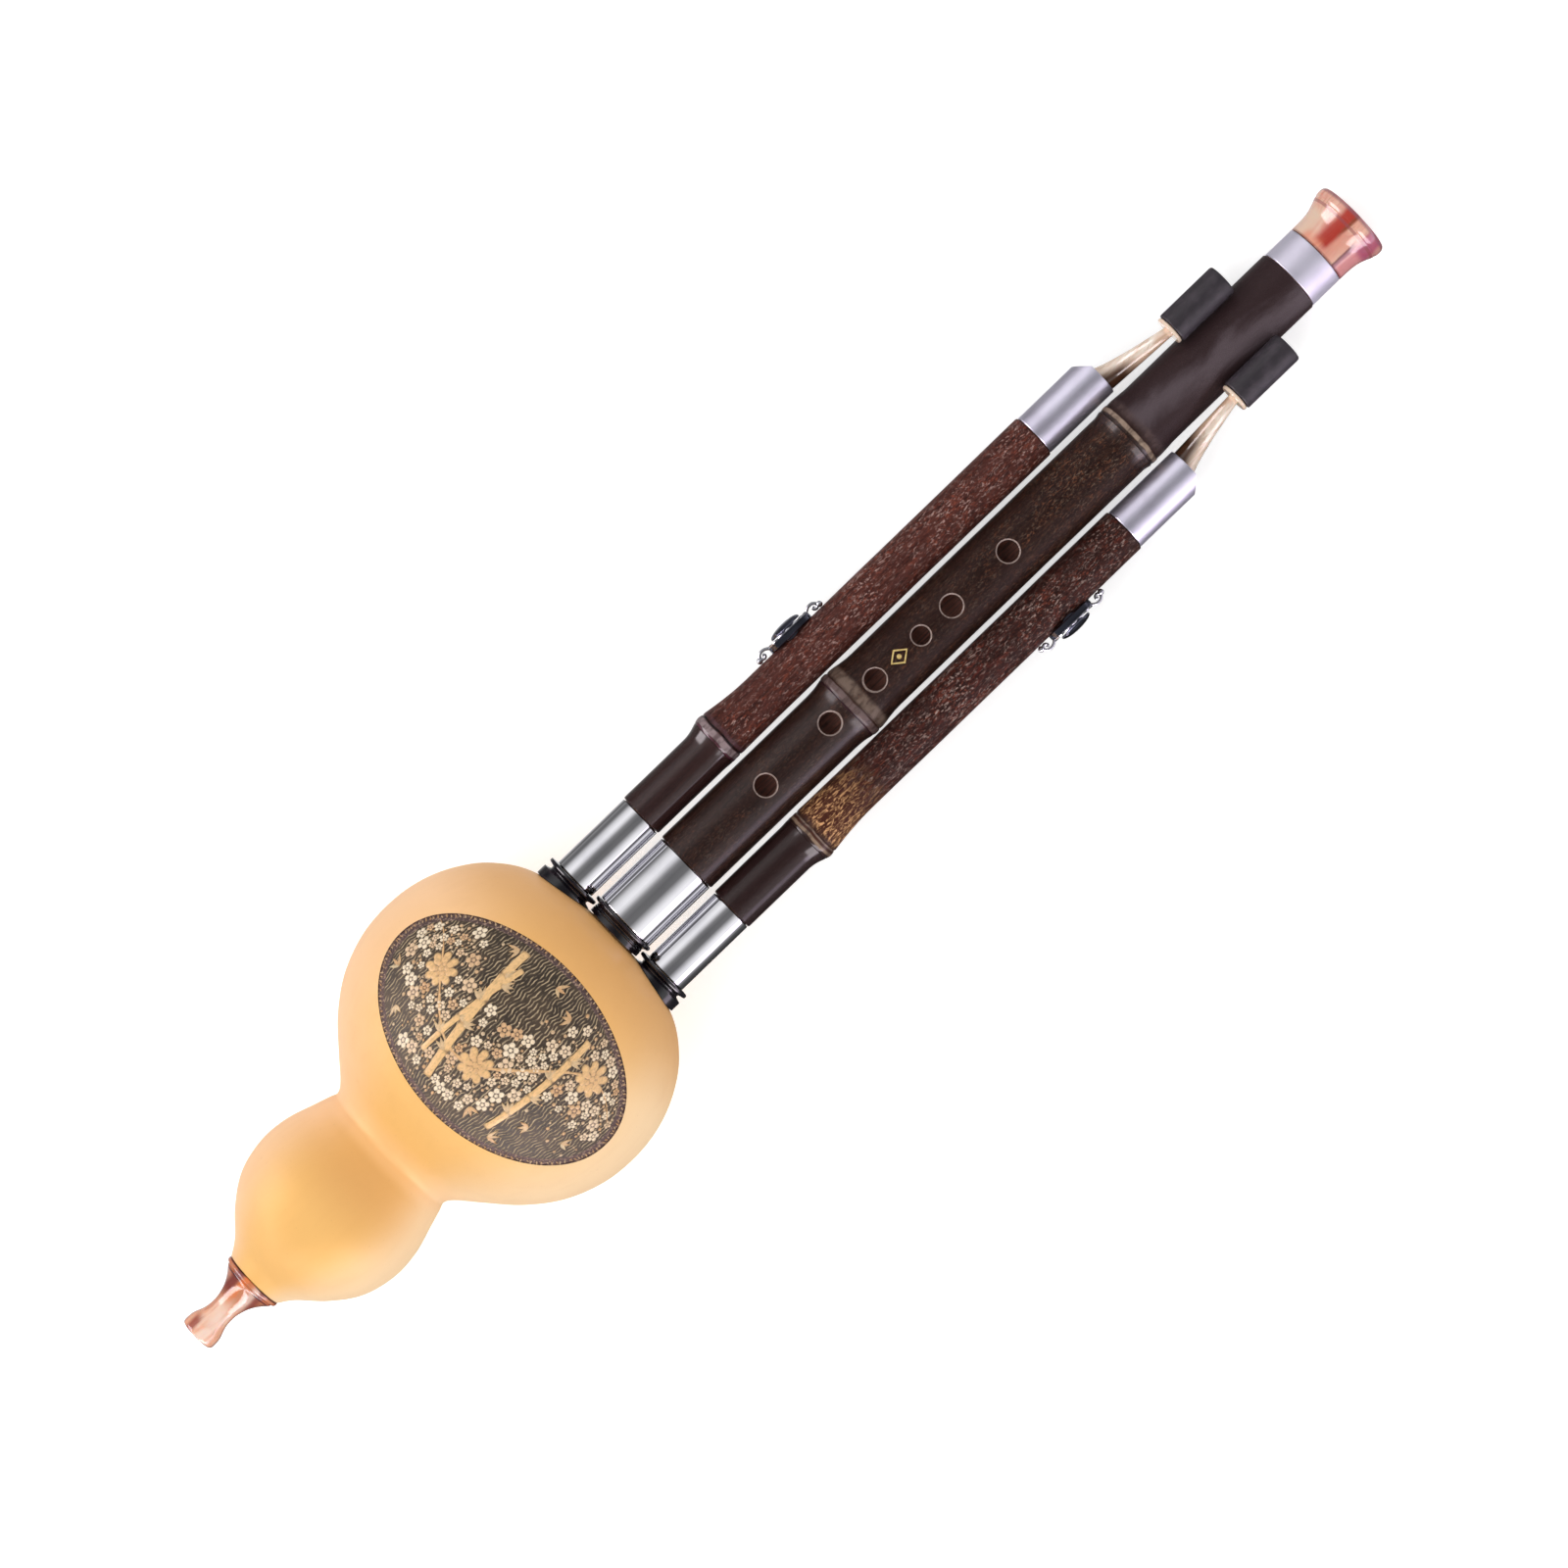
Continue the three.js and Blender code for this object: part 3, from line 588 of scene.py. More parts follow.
for attempt in range(spray_tries):
    along = draw.uniform(-panel_half_length, panel_half_length)
    around = draw.uniform(-panel_half_girth, panel_half_girth)
    if free_spot(along, around, 2.5):
        heading = draw.uniform(0, math.tau)
        for fan in spray_angles:
            start = Vector((along, around)) - half_leaf * heading_to(heading)
            leaves.add(leaf(draw.uniform(3.6, 5), 1.2), start.x, start.y, heading + fan, draw.random())
for attempt in range(berry_tries):
    along, around = strewn(8, 3)
    radius = draw.uniform(0.35, 0.75)
    if free_spot(along, around, radius + 0.1):
        berry = spun_disc([(0, 1), (radius * 0.6, 0.85), (radius, 0.4), (radius, 0)], 8)
        berries.add(berry, along, around, 0, draw.random())
for notch in range(rim_notches):
    angle = math.tau * notch / rim_notches
    middle = (1 + rim_share) / 2
    along = panel_half_length * middle * math.sin(angle)
    around = panel_half_girth * middle * math.cos(angle)
    slant = math.atan2(panel_half_girth * math.cos(angle), panel_half_length * math.sin(angle))
    cut = leaf(draw.uniform(1.2, 2), 0.5)
    berries.add(cut, along, around, slant + draw.uniform(-0.5, 0.5), draw.random())
for motif, relief, pale, deep in (
    ("blossoms", blossoms, (246, 226, 196), (84, 58, 44)),
    ("peonies", peonies, (234, 190, 132), (78, 54, 38)),
    ("leaves", leaves, (214, 190, 150), (66, 48, 38)),
    ("berries", berries, (222, 194, 158), (66, 48, 38)),
):
    make("panel_" + motif, onto_panel(relief.shape), "gourd", "gourd",
         [motif_finish("carved_" + motif, pale, deep)], sharp=60)

# Mouthpiece
# Turned and polished resin in peach and rose with dark red veins, and a painted shade at its edges. A wide
# lip, a slim neck and a flange that rests on the gourd; behind it a spigot with a cork sleeve goes into the
# gourd.
mouth_start, mouth_end, flange_radius = reach("mouthpiece")
mouth_length = gourd_start - clearance - mouth_start
mouth_sides = 96
bore_radius = 2.6
neck_radius = 4.55
lip_radius = 6.6
spigot_radius = 5.2
# Along the mouthpiece, and from the neck's radius to the lip's, then to the flange's
lip_shares = [(0, 0.62), (0.012, 0.86), (0.035, 0.98), (0.07, 1), (0.13, 0.97), (0.18, 0.84), (0.23, 0.6),
              (0.29, 0.3), (0.36, 0.08), (0.44, 0)]
flare_shares = [(0.52, 0.02), (0.6, 0.09), (0.68, 0.2), (0.76, 0.37), (0.83, 0.57), (0.885, 0.76),
                (0.91, 0.83), (0.918, 0.8), (0.93, 0.81), (0.938, 0.95), (0.955, 1), (0.975, 1), (0.99, 0.99),
                (1, 0.94)]


def shader_group(name, inputs, outputs):
    """An empty node group: itself, what its start node puts out and what its end node takes in."""
    group = bpy.data.node_groups.new(name, "ShaderNodeTree")
    for way, sockets in (("INPUT", inputs), ("OUTPUT", outputs)):
        for socket, kind in sockets.items():
            group.interface.new_socket(socket, in_out=way, socket_type="NodeSocket" + kind)
    return group, group.nodes.new("NodeGroupInput").outputs, group.nodes.new("NodeGroupOutput").inputs


marbled, start, end = shader_group(
    "marbled_resin",
    {"Place": "Vector", "Pale": "Color", "Warm": "Color", "Vein": "Color", "Veins": "Float"},
    {"Color": "Color"})
wisps = between(cloudy(start["Place"], 0.05, 0.22, 4, 1.2), 0.36, 0.64)
threads = between(cloudy(start["Place"], 0.035, 0.32, 5, 1.6, 0.6), 0.55, 0.66)
body_tone = mixed(wisps, start["Pale"], start["Warm"])
marbled.links.new(mixed(times(threads, start["Veins"]), body_tone, start["Vein"]), end["Color"])


def resin(name, roughness, depth, pale, warm, vein, veins):
    """Polished resin, clouded in two colours and veined with a third."""
    made = Finish(name, Roughness=roughness, Coat_Weight=0.3, Subsurface_Weight=depth, Subsurface_Scale=0.003,
                  IOR=1.5)
    made.colour = made.grouped(marbled, Pale=pale, Warm=warm, Vein=vein, Veins=veins)["Color"]
    return made


def streak_front(made, streaks):
    """Lays streaks along a turned piece's front. Each has its middle and half width in millimetres across the
    front, its softness, colour, strength and place along the piece."""
    bend = figure("MULTIPLY_ADD", made.cloudy(0.12, 0.1), 1.6, -0.8)
    in_front = between(made.ahead, -1.0, 1.0)
    for middle, half_width, soft, colour, strength, reached in streaks:
        away = figure("ABSOLUTE", figure("SUBTRACT", figure("ADD", made.beside, bend), middle))
        near = times(between(away, half_width + soft, half_width), in_front)
        made.coat(colour, times(near, reached), strength)


rose = resin("rose_resin", 0.12, 0.2, (244, 206, 184), (236, 176, 146), (156, 80, 66), 0.35)
rose.coat((196, 112, 66), between(rose.along, 12, 20), 0.8)
past_lip = between(rose.along, 13, 20)
streak_front(rose, [
    (4.8, 0.6, 2.4, (124, 48, 46), 0.9, past_lip),
    (1.6, 0.3, 1.6, (228, 128, 70), 0.8, past_lip),
    (-3.6, 0.4, 1.8, (236, 208, 196), 0.7, past_lip),
    (-5.6, 0.3, 1.4, (140, 70, 66), 0.8, past_lip),
    (3.6, 0.4, 1.8, (150, 58, 44), 0.85, between(rose.along, 8, 4)),
    (-1.5, 0.6, 2.0, (248, 226, 214), 0.5, between(rose.along, 15, 9)),
])
off_middle = between(figure("ABSOLUTE", rose.beside), 1.0, 5.0)
for low, high in ((24.0, 24.5), (26.6, 27.2)):
    rim_line = within(rose.along, low - 0.2, low + 0.1, high + 0.2, high - 0.1)
    rose.coat((84, 42, 46), times(rim_line, off_middle), 0.9)
# Painted shade at the mouthpiece's edges
rose.paint_edge_shade((146, 84, 78), 0.4, 0.85)

make("rose_mouthpiece", turned([
    (mouth_start, bore_radius),
    *flowing(scaled(lip_shares, mouth_start, mouth_length, neck_radius, lip_radius)
             + scaled(flare_shares, mouth_start, mouth_length, neck_radius, flange_radius), 4),
    (mouth_start + mouth_length, spigot_radius), (mouth_end, spigot_radius), (mouth_end, bore_radius),
], mouth_sides), "gourd", "pink_resin", [rose.done()], "mouthpiece")

# Cork
# Natural cork, cut and sanded: the sleeve round the mouthpiece's spigot, and the ring on each pipe that grips
# its socket. It only shows when a pipe is pulled out.
cork = Finish("cork", Roughness=0.85)
crumbs = wire("TexVoronoi", {"Vector": cork.place, "Scale": 0.9, "Randomness": 1}).outputs["Color"]
crumb = wire("SeparateColor", {0: crumbs}).outputs["Red"]
pits = between(cork.cloudy(0.8, 0.8, 4), 0.6, 0.7)
cork.colour = mixed(crumb, (200, 152, 104), (172, 122, 78))
cork.coat((92, 58, 36), pits)
cork_finish = cork.done(figure("SUBTRACT", crumb, pits), 0.0002)
frame["nodes"]["mouthpiece_cork"].material_slots[0].material = cork_finish
for pipe, off_line in beside.items():
    foot, top, outside = reach(pipe + "_seal_ring")
    inside = reach(pipe + "_reed_stock")[2] + clearance
    ring = turned([(foot, inside), (foot + 0.6, outside - 0.05), (foot + 1, outside), (top - 0.6, outside),
                   (top, outside - 0.6), (top, inside)], 72, off_line)
    make(pipe + "_cork_ring", ring, pipe + "_seal", "cork", [cork_finish], pipe + "_seal_ring")

# Socket collars
# Black horn, turned like cotton reels and polished: a wide rim that the ferrule stands on, a narrow waist and
# a foot fitted to the dome. They are glued into the three sockets.
rim_thickness = 1.4
waist_length = 2
collar_feet = {"main": 11, "high_drone": 10.6, "low_drone": 10.6}
collar_wall = 1.1
collar_edge = 0.35
dome_form_gap = 0.25
horn = Finish("black_horn", Coat_Weight=0.35, Coat_Roughness=0.05)
horn.colour = mixed(between(horn.cloudy(0.4, 0.12, 4, 0.8), 0.42, 0.75), (15, 14, 22), (48, 36, 44))
horn_finish = horn.done(Roughness=figure("MULTIPLY_ADD", horn.cloudy(2.2, 0.6), 0.2, 0.05))
for pipe, off_line in beside.items():
    foot, top, outside = reach(pipe + "_socket_collar")
    bore = socket_bores[pipe]
    foot_radius = collar_feet[pipe]
    waist_radius = bore + collar_wall
    rim_foot = top - rim_thickness
    spool = turned([
        (foot, bore), (foot, foot_radius), (rim_foot - waist_length - collar_edge, foot_radius),
        *flowing([(rim_foot - waist_length, foot_radius - collar_edge / 2),
                  (rim_foot - waist_length * 0.72, waist_radius + 0.25),
                  (rim_foot - waist_length * 0.5, waist_radius),
                  (rim_foot - waist_length * 0.22, waist_radius + 0.3), (rim_foot, outside - 0.5)], 4),
        (rim_foot + 0.2, outside - 0.1), (rim_foot + 0.5, outside), (top - 0.4, outside),
        (top - 0.12, outside - 0.12), (top, outside - collar_edge), (top, bore),
    ], 112, off_line)
    dome = turned([(along + dome_form_gap, radius)
                   for along, radius in [Vector((gourd_start, 0)), *gourd_outline]], gourd_sides)
    make(pipe + "_horn_collar", carved(spool, dome), "gourd", "black_horn", [horn_finish],
         pipe + "_socket_collar")

# Lower ferrules
# Thin chromed brass tubes, polished to a mirror, pressed over the foot of each pipe. Their rims are rolled.
ferrule_wall = 0.6
rolled_edge = 0.22

polish, start, end = shader_group(
    "fine_scratches", {"Place": "Vector", "Roughness": "Float", "Wear": "Float"},
    {"Roughness": "Float", "Height": "Float"})
hairs = cloudy(start["Place"], 6, 0.25, 3, 0.2)
spread = times(figure("ADD", hairs, cloudy(start["Place"], 0.12, 0.16)), start["Wear"])
polish.links.new(figure("ADD", start["Roughness"], spread), end["Roughness"])
polish.links.new(hairs, end["Height"])


def metal_finish(name, light, shade, roughness, wear, metallic=1.0):
    """Polished metal with faint turning marks, a little darker where hands have dulled it."""
    metal = Finish(name, Metallic=metallic)
    marks = metal.grouped(polish, Roughness=roughness, Wear=wear)
    metal.colour = mixed(between(metal.cloudy(0.07, 0.1), 0.4, 0.75), light, shade)
    return metal.done(marks["Height"], 0.00001, Roughness=marks["Roughness"])


chrome_finish = metal_finish("chrome", (244, 243, 248), (228, 227, 234), 0.015, 0.03)
satin_finish = metal_finish("satin_silver", (216, 213, 228), (203, 199, 215), 0.42, 0.08, 0.7)
ferrule_silver = metal_finish("ferrule_silver", (226, 223, 240), (212, 208, 226), 0.32, 0.08, 0.9)


def thin_tube(node, off_line):
    """A thin metal tube in a CAD node's place, with its two rims rolled round."""
    start, end, outside = reach(node)
    inside = outside - ferrule_wall
    rim = [(0, -rolled_edge), (rolled_edge / 3, -rolled_edge / 3), (rolled_edge, 0), (rolled_edge * 2, 0)]
    return turned([(start, inside), *[(start + x, outside + r) for x, r in rim],
                   *[(end - x, outside + r) for x, r in reversed(rim)], (end, inside)], 128, off_line)


for pipe, off_line in beside.items():
    make(pipe + "_chrome_ferrule", thin_tube(pipe + "_lower_ferrule", off_line), pipe + "_pipe", "chrome",
         [chrome_finish], pipe + "_lower_ferrule")

# Bamboo pipes
# Old purple bamboo, polished, with its nodes left standing. The main pipe has six finger holes in front, one
# of them small, and three behind, each with a bright chamfer; a drone has one tone hole in its outer side.
pipe_sides = 144
station_pitch = 2.2
foot_edge = 0.35
pipe_bores = {"main": 7.5, "high_drone": 5.6, "low_drone": 5.6}
pipe_radii = {"main": 11.95, "high_drone": 8.35, "low_drone": 8.35}
tip_metal = {"main": "main_tip_ring", **{pipe: pipe + "_upper_ferrule" for pipe in drones}}
bare_start = {pipe: reach(pipe + "_lower_ferrule")[1] + clearance for pipe in beside}
bare_end = {pipe: reach(metal)[0] - clearance for pipe, metal in tip_metal.items()}
# A node's outline: millimetres from it towards the bell, and of its rise
main_ridge = [(-9, 0), (-7, 0.08), (-5.4, 0.2), (-4.2, 0.36), (-3.1, 0.56), (-2.2, 0.72), (-1.95, 0.62),
              (-1.7, 0.8), (-1.1, 0.95), (0, 1), (0.7, 0.93), (1.05, 0.68), (1.25, 0.6), (1.5, 0.76),
              (2.4, 0.82), (4, 0.7), (6.4, 0.36), (9, 0.1), (12, 0)]
tip_ridge = [(-5.6, 0), (-4.6, 0.05), (-3.4, 0.5), (-2.2, 0.97), (-1.95, 0.6), (-1.5, 0.6), (-0.9, 0.92),
             (0, 1), (0.7, 0.92), (1.1, 0.55), (1.6, 0.6), (3, 0.7), (6, 0.4), (9, 0)]
drone_ridge = [(-8, 0), (-6, 0.1), (-4.6, 0.27), (-3.4, 0.5), (-2.1, 0.76), (-1.85, 0.66), (-1.6, 0.84),
               (-0.9, 0.97), (0, 1), (1, 0.97), (1.6, 0.9), (1.95, 0.6), (2.15, 0.58), (2.4, 0.82),
               (3.2, 0.84), (6, 0.6), (10, 0.34), (15, 0.12), (20, 0)]
# Each node's share of the bare bamboo, the rise of its ridge, its outline, and its bands of colour: from and
# to in millimetres towards the bell, softness, colour and strength. The pale bands on the ridges are partly
# painted highlight, and the dark lines in the grooves partly painted shade.
culm_nodes = {
    "main": [
        (0.274, 1.25, main_ridge, [
            (-2.3, -1.8, 0.2, (52, 24, 38), 0.9), (-1.6, 0.8, 0.3, (112, 92, 90), 0.85),
            (0.9, 1.3, 0.2, (66, 38, 28), 0.9), (1.6, 5.4, 0.9, (116, 97, 86), 0.9)]),
        (0.737, 0.6, tip_ridge, [
            (-2.1, -1.4, 0.25, (34, 20, 18), 0.95), (-0.9, 0.7, 0.25, (158, 136, 120), 0.95),
            (1.0, 1.7, 0.25, (44, 28, 28), 0.9), (2.0, 4.6, 1.0, (98, 80, 78), 0.5)]),
    ],
    "high_drone": [
        (0.2, 1.05, drone_ridge, [
            (-1.8, -1.2, 0.2, (84, 36, 54), 0.9), (-1.0, 1.4, 0.3, (150, 130, 132), 0.9),
            (1.7, 2.3, 0.15, (20, 11, 14), 1.0), (2.5, 3.8, 0.4, (92, 62, 70), 0.6)]),
    ],
    "low_drone": [
        (0.2, 1.05, drone_ridge, [
            (-1.7, -1.0, 0.2, (42, 22, 20), 0.95), (-0.8, 0.3, 0.25, (150, 124, 104), 0.9),
            (0.5, 1.0, 0.2, (80, 38, 24), 0.9), (1.2, 1.8, 0.2, (142, 118, 106), 0.85),
            (2.1, 3.2, 0.4, (68, 42, 36), 0.6)]),
    ],
}
# How far a drone swells to its outer side at its node, and how far the swelling reaches either way
outward_swell = 0.9
swell_before, swell_after = 8, 18
finger_radius = 3.8
small_radius = 3.25
ring_width = 0.5
ring_depth = 0.5
front_holes = {0.133: finger_radius, 0.239: finger_radius, 0.3136: finger_radius, 0.389: small_radius,
               0.4396: finger_radius, 0.5327: finger_radius}
back_holes = {0.081: finger_radius, 0.6456: finger_radius, 0.699: finger_radius}
tone_hole = 3.8
tone_ring_width = 0.2
drone_holes = {pipe: sum(reach(pipe + "_rosette")[:2]) / 2 for pipe in drones}
skin_ripple = 0.05
ripple_lengths = (23, 7.3)

bamboo_skin, start, end = shader_group(
    "bamboo_skin",
    {"Place": "Vector", "Ground": "Color", "Deep": "Color", "Streak": "Color", "Fleck": "Color",
     "Spark": "Color", "Flecks": "Float"},
    {"Color": "Color", "Roughness": "Float", "Height": "Float"})
place = start["Place"]
grain = cloudy(place, 0.06, 1.0, 5, 0.3, 0.6)
flecks = cloudy(place, 0.6, 1.6, 5, 1.0, 0.72)
hues = cloudy(place, 0.5, 0.9, 3, 0.5)
streaky = cloudy(place, 0.13, 0.75, 4, 0.8, 0.6)
patches = cloudy(place, 0.05, 0.12, 3, 0.6)
pores = cloudy(place, 1.6, 4.5, 2)
toned = mixed(times(between(grain, 0.42, 0.7), 0.85), start["Ground"], start["Deep"])
streak_share = times(between(streaky, 0.5, 0.68), start["Flecks"])
toned = mixed(times(streak_share, 0.7), toned, start["Streak"])
fleck_share = times(times(between(flecks, 0.5, 0.63), start["Flecks"]),
                    figure("ADD", between(patches, 0.35, 0.65), 0.4))
toned = mixed(fleck_share, toned, mixed(between(hues, 0.44, 0.56), start["Fleck"], start["Spark"]))
toned = mixed(times(between(pores, 0.55, 0.8), 0.35), toned, start["Deep"])
bamboo_skin.links.new(toned, end["Color"])
bamboo_skin.links.new(figure("MULTIPLY_ADD", fleck_share, 0.2, 0.36), end["Roughness"])
bamboo_skin.links.new(figure("ADD", times(grain, 0.5), flecks), end["Height"])


def band(value, low, high, soft):
    return within(value, low - soft, low + soft, high + soft, high - soft)


def nodes_along(pipe):
    """The pipe's nodes, with their places along the instrument instead of their shares."""
    for share, *node in culm_nodes[pipe]:
        yield bare_start[pipe] - clearance + share * (bare_end[pipe] - bare_start[pipe]), *node


class Bamboo(Finish):
    """A pipe's polished skin. Its flecks have places along the pipe: from, to and strength."""

    def __init__(self, pipe, softness, fleck_places, **colours):
        super().__init__(pipe + "_bamboo", beside[pipe], Coat_Roughness=softness, Specular_IOR_Level=0.08)
        self.pipe = pipe
        amount = 0.0
        for low, high, strength in fleck_places:
            amount = figure("MULTIPLY_ADD", band(self.along, low, high, 4), strength, amount)
        self.skin = self.grouped(bamboo_skin, Flecks=amount, **colours)
        self.colour = self.skin["Color"]

    def polished(self, share, gloss, least, relief):
        """The material: nodes banded, as glossy as this in that share of the skin, relief in metres."""
        sway = figure("MULTIPLY_ADD", self.cloudy(0.03, 0.13, 3, 0.6), 1.6, -0.8)
        patchy = figure("MULTIPLY_ADD", between(self.cloudy(0.2, 0.35, 4, 0.8), 0.34, 0.6), 0.6, 0.4)
        # The node bands: partly painted highlight on the ridges and painted shade in the grooves
        for node, _, _, bands in nodes_along(self.pipe):
            away = figure("ADD", figure("SUBTRACT", self.along, node), sway)
            for low, high, soft, colour, strength in bands:
                self.coat(colour, times(band(away, low, high, soft), patchy), strength)
        return self.done(self.skin["Height"], relief, Roughness=self.skin["Roughness"],
                         Coat_Weight=figure("MULTIPLY_ADD", share, gloss, least))


culm = Bamboo("main", 0.2, [(228, 300, 0.3), (300, 380, 0.4), (380, 436, 0.7)], Ground=(40, 23, 20),
              Deep=(24, 11, 8), Streak=(66, 42, 32), Fleck=(104, 86, 74), Spark=(112, 70, 50))
# Above the upper node the skin is grey, and paler in a patch that wanders to one side: a painted highlight.
aslant = figure("ADD", culm.beside, figure("MULTIPLY_ADD", culm.along, 0.13, -0.13 * 455))
highlight_patch = figure("MULTIPLY_ADD", culm.cloudy(0.04, 0.11, 4, 0.5, 0.6), 16.0, figure("ABSOLUTE", aslant))
grey_with_painted_highlight = mixed(between(highlight_patch, 15.5, 7.5), (52, 38, 40), (90, 78, 83))
culm.coat(grey_with_painted_highlight, between(culm.along, 437, 441), 0.9)
glossy = figure("ADD", between(culm.along, 318, 296), within(culm.along, 428, 431, 435, 434.3))
skins = {"main": culm.polished(glossy, 0.5, 0.04, 0.00022)}
for pipe, gloss, ground, streak, fleck, spark, places in (
    ("high_drone", 0.85, (74, 39, 34), (98, 55, 46), (174, 140, 132), (130, 66, 50),
     [(270, 412, 1.0), (228, 262, 0.1)]),
    ("low_drone", 0.6, (46, 25, 22), (80, 34, 28), (164, 138, 130), (118, 60, 46),
     [(285, 412, 0.85), (322, 350, 0.5), (228, 262, 0.1)]),
):
    culm = Bamboo(pipe, 0.12, places, Ground=ground, Deep=(30, 14, 12), Streak=streak, Fleck=fleck,
                  Spark=spark)
    node = next(nodes_along(pipe))[0]
    glossy = between(culm.along, node + 6, node - 2)
    culm.coat((37, 22, 22), glossy, 0.8)
    if pipe == "low_drone":
        glow = within(culm.along, 266, 270, 298, 272)
        culm.coat((84, 42, 30), glow, 0.6)
        culm.coat((224, 170, 120), glow, between(culm.cloudy(0.34, 1.2, 5, 1.2, 0.7), 0.49, 0.61))
    skins[pipe] = culm.polished(glossy, gloss, 0.02, 0.00024)


def grained_finish(name, clouds, light, shade, relief, **values):
    """A plain finish whose colour and relief both follow its grain, in clouds to a millimetre."""
    stuff = Finish(name, **values)
    fibres = stuff.cloudy(*clouds, 4)
    stuff.colour = mixed(between(fibres, 0.35, 0.7), light, shade)
    return stuff.done(fibres, relief)


cut_finish = grained_finish("cut_bamboo", (0.3, 2.4), (156, 138, 130), (112, 94, 88), 0.0001, Roughness=0.55)
bore_finish = grained_finish("bore", (0.1, 1.6), (200, 142, 126), (150, 102, 92), 0.0001, Roughness=0.6)


def pipe_outline(pipe):
    """The closed outline of a bamboo pipe: seat, bare skin with its nodes, tip seat and bore."""
    start, end, _ = reach(pipe + "_bamboo")
    low, high = bare_start[pipe], bare_end[pipe]
    radius, bore = pipe_radii[pipe], pipe_bores[pipe]
    seat, tip_seat = (reach(metal)[2] - ferrule_wall - clearance
                      for metal in (pipe + "_lower_ferrule", tip_metal[pipe]))
    ridges = [(node + away, rise * share)
              for node, rise, ridge, _ in nodes_along(pipe) for away, share in ridge]
    stations = sorted({*(low + foot_edge + station_pitch * step
                         for step in range(int((high - low - 2 * foot_edge) / station_pitch))),
                       *(along for along, _ in ridges)})
    heights = np.interp(stations, [along for along, _ in ridges], [rise for _, rise in ridges])
    skin = [(along, radius + height) for along, height in zip(stations, heights)]
    return [(start, bore), (start, seat), (low, seat), (low, radius - foot_edge), *skin,
            (high - foot_edge, radius), (high, radius - foot_edge), (high, tip_seat), (end, tip_seat),
            (end, bore)]


def hole_cutter(pipe, along, radius, turn, chamfer):
    """A drill with a chamfer that follows the pipe's round skin, so that its ring is even all round."""
    skin = pipe_radii[pipe]
    cutter = spun_disc([(0, 0), (radius, 0), (radius, skin - ring_depth), (radius + chamfer, skin),
                        (radius + chamfer * 3, skin + ring_depth * 3), (0, skin + ring_depth * 3)], 48)
    for corner in cutter.verts:
        if corner.co.z > 1:
            corner.co.z += math.sqrt(skin ** 2 - corner.co.y ** 2) - skin
    for face in outward(cutter).faces:
        slanted = math.hypot(*face.normal.xy) > 0.1 and abs(face.normal.z) > 0.2
        face.material_index = 1 if slanted else 0
    return placed(cutter, Matrix.Translation((along, beside[pipe], 0)) @ Matrix.Rotation(turn, 4, "X"))


def ripples(shape, off_line, seed):
    """Presses the outer skin in a little here and there, as on grown bamboo."""
    long, short = ripple_lengths
    for corner in shape.verts:
        radius = math.hypot(corner.co.y - off_line, corner.co.z)
        wave = math.sin(corner.co.x / long + seed) * math.sin(corner.co.x / short + 2 * seed)
        if radius > pipe_radii["high_drone"] - 0.1:
            scale = 1 - skin_ripple * (0.5 + 0.5 * wave) / radius
            corner.co.y = off_line + (corner.co.y - off_line) * scale
            corner.co.z *= scale
    return shape


bare = bare_end["main"] - bare_start["main"] + clearance
holes = [hole_cutter("main", bare_start["main"] - clearance + share * bare, radius, turn, ring_width)
         for row, turn in ((front_holes, 0.0), (back_holes, math.pi)) for share, radius in row.items()]
main_pipe = carved(ripples(turned(pipe_outline("main"), pipe_sides), 0, 1), *holes)
for face in main_pipe.faces:
    middle = face.calc_center_median()
    if math.hypot(middle.y, middle.z) < pipe_bores["main"] + 0.2 or middle.x > bare_end["main"] + 0.1:
        face.material_index = 2
make("main_culm", main_pipe, "main_pipe", "bamboo", [skins["main"], cut_finish, bore_finish], "main_bamboo",
     sharp=30)
for seed, (pipe, outer) in enumerate(drones.items(), 3):
    node = next(nodes_along(pipe))[0]
    culm = turned(pipe_outline(pipe), pipe_sides, beside[pipe])
    for corner in culm.verts:
        away = corner.co.x - node
        if math.hypot(corner.co.y - beside[pipe], corner.co.z) > pipe_radii[pipe] - 0.2:
            near = max(0, 1 - abs(away) / (swell_after if away > 0 else swell_before))
            corner.co.y += outer * outward_swell * near ** 1.5
    hole = hole_cutter(pipe, drone_holes[pipe], tone_hole, -outer * math.pi / 2, tone_ring_width)
    make(pipe + "_culm", carved(ripples(culm, beside[pipe], seed), hole), pipe + "_pipe", "bamboo",
         [skins[pipe], cut_finish], pipe + "_bamboo", sharp=30)

# Gilt lozenge
# A plain mark in gold leaf between two finger holes: an outline and a dot, pressed on and burnished.
lozenge_place = 327.7
lozenge_half = (3.9, 3.1)
lozenge_line = 0.75
dot_radius = 0.85
foil_lift = 0.03
foil_thickness = 0.02
gilt_finish = grained_finish("gold_leaf", (1.5, 1.5), (222, 198, 130), (190, 156, 90), 0.00008, Metallic=0.15,
                             Roughness=0.35)
foil = bmesh.new()
bmesh.ops.create_circle(foil, cap_ends=True, segments=4, radius=1)
bmesh.ops.scale(foil, vec=(*lozenge_half, 1), verts=foil.verts)
strips = bmesh.ops.inset_individual(foil, faces=foil.faces[:], thickness=lozenge_line)["faces"]
bmesh.ops.delete(foil, geom=[face for face in foil.faces if face not in strips], context="FACES")
bmesh.ops.create_circle(foil, cap_ends=True, segments=20, radius=dot_radius)
bmesh.ops.subdivide_edges(foil, edges=[edge for edge in foil.edges if edge.calc_length() > 1.2], cuts=6,
                          use_grid_fill=True)
bmesh.ops.solidify(foil, geom=foil.faces[:], thickness=foil_thickness)
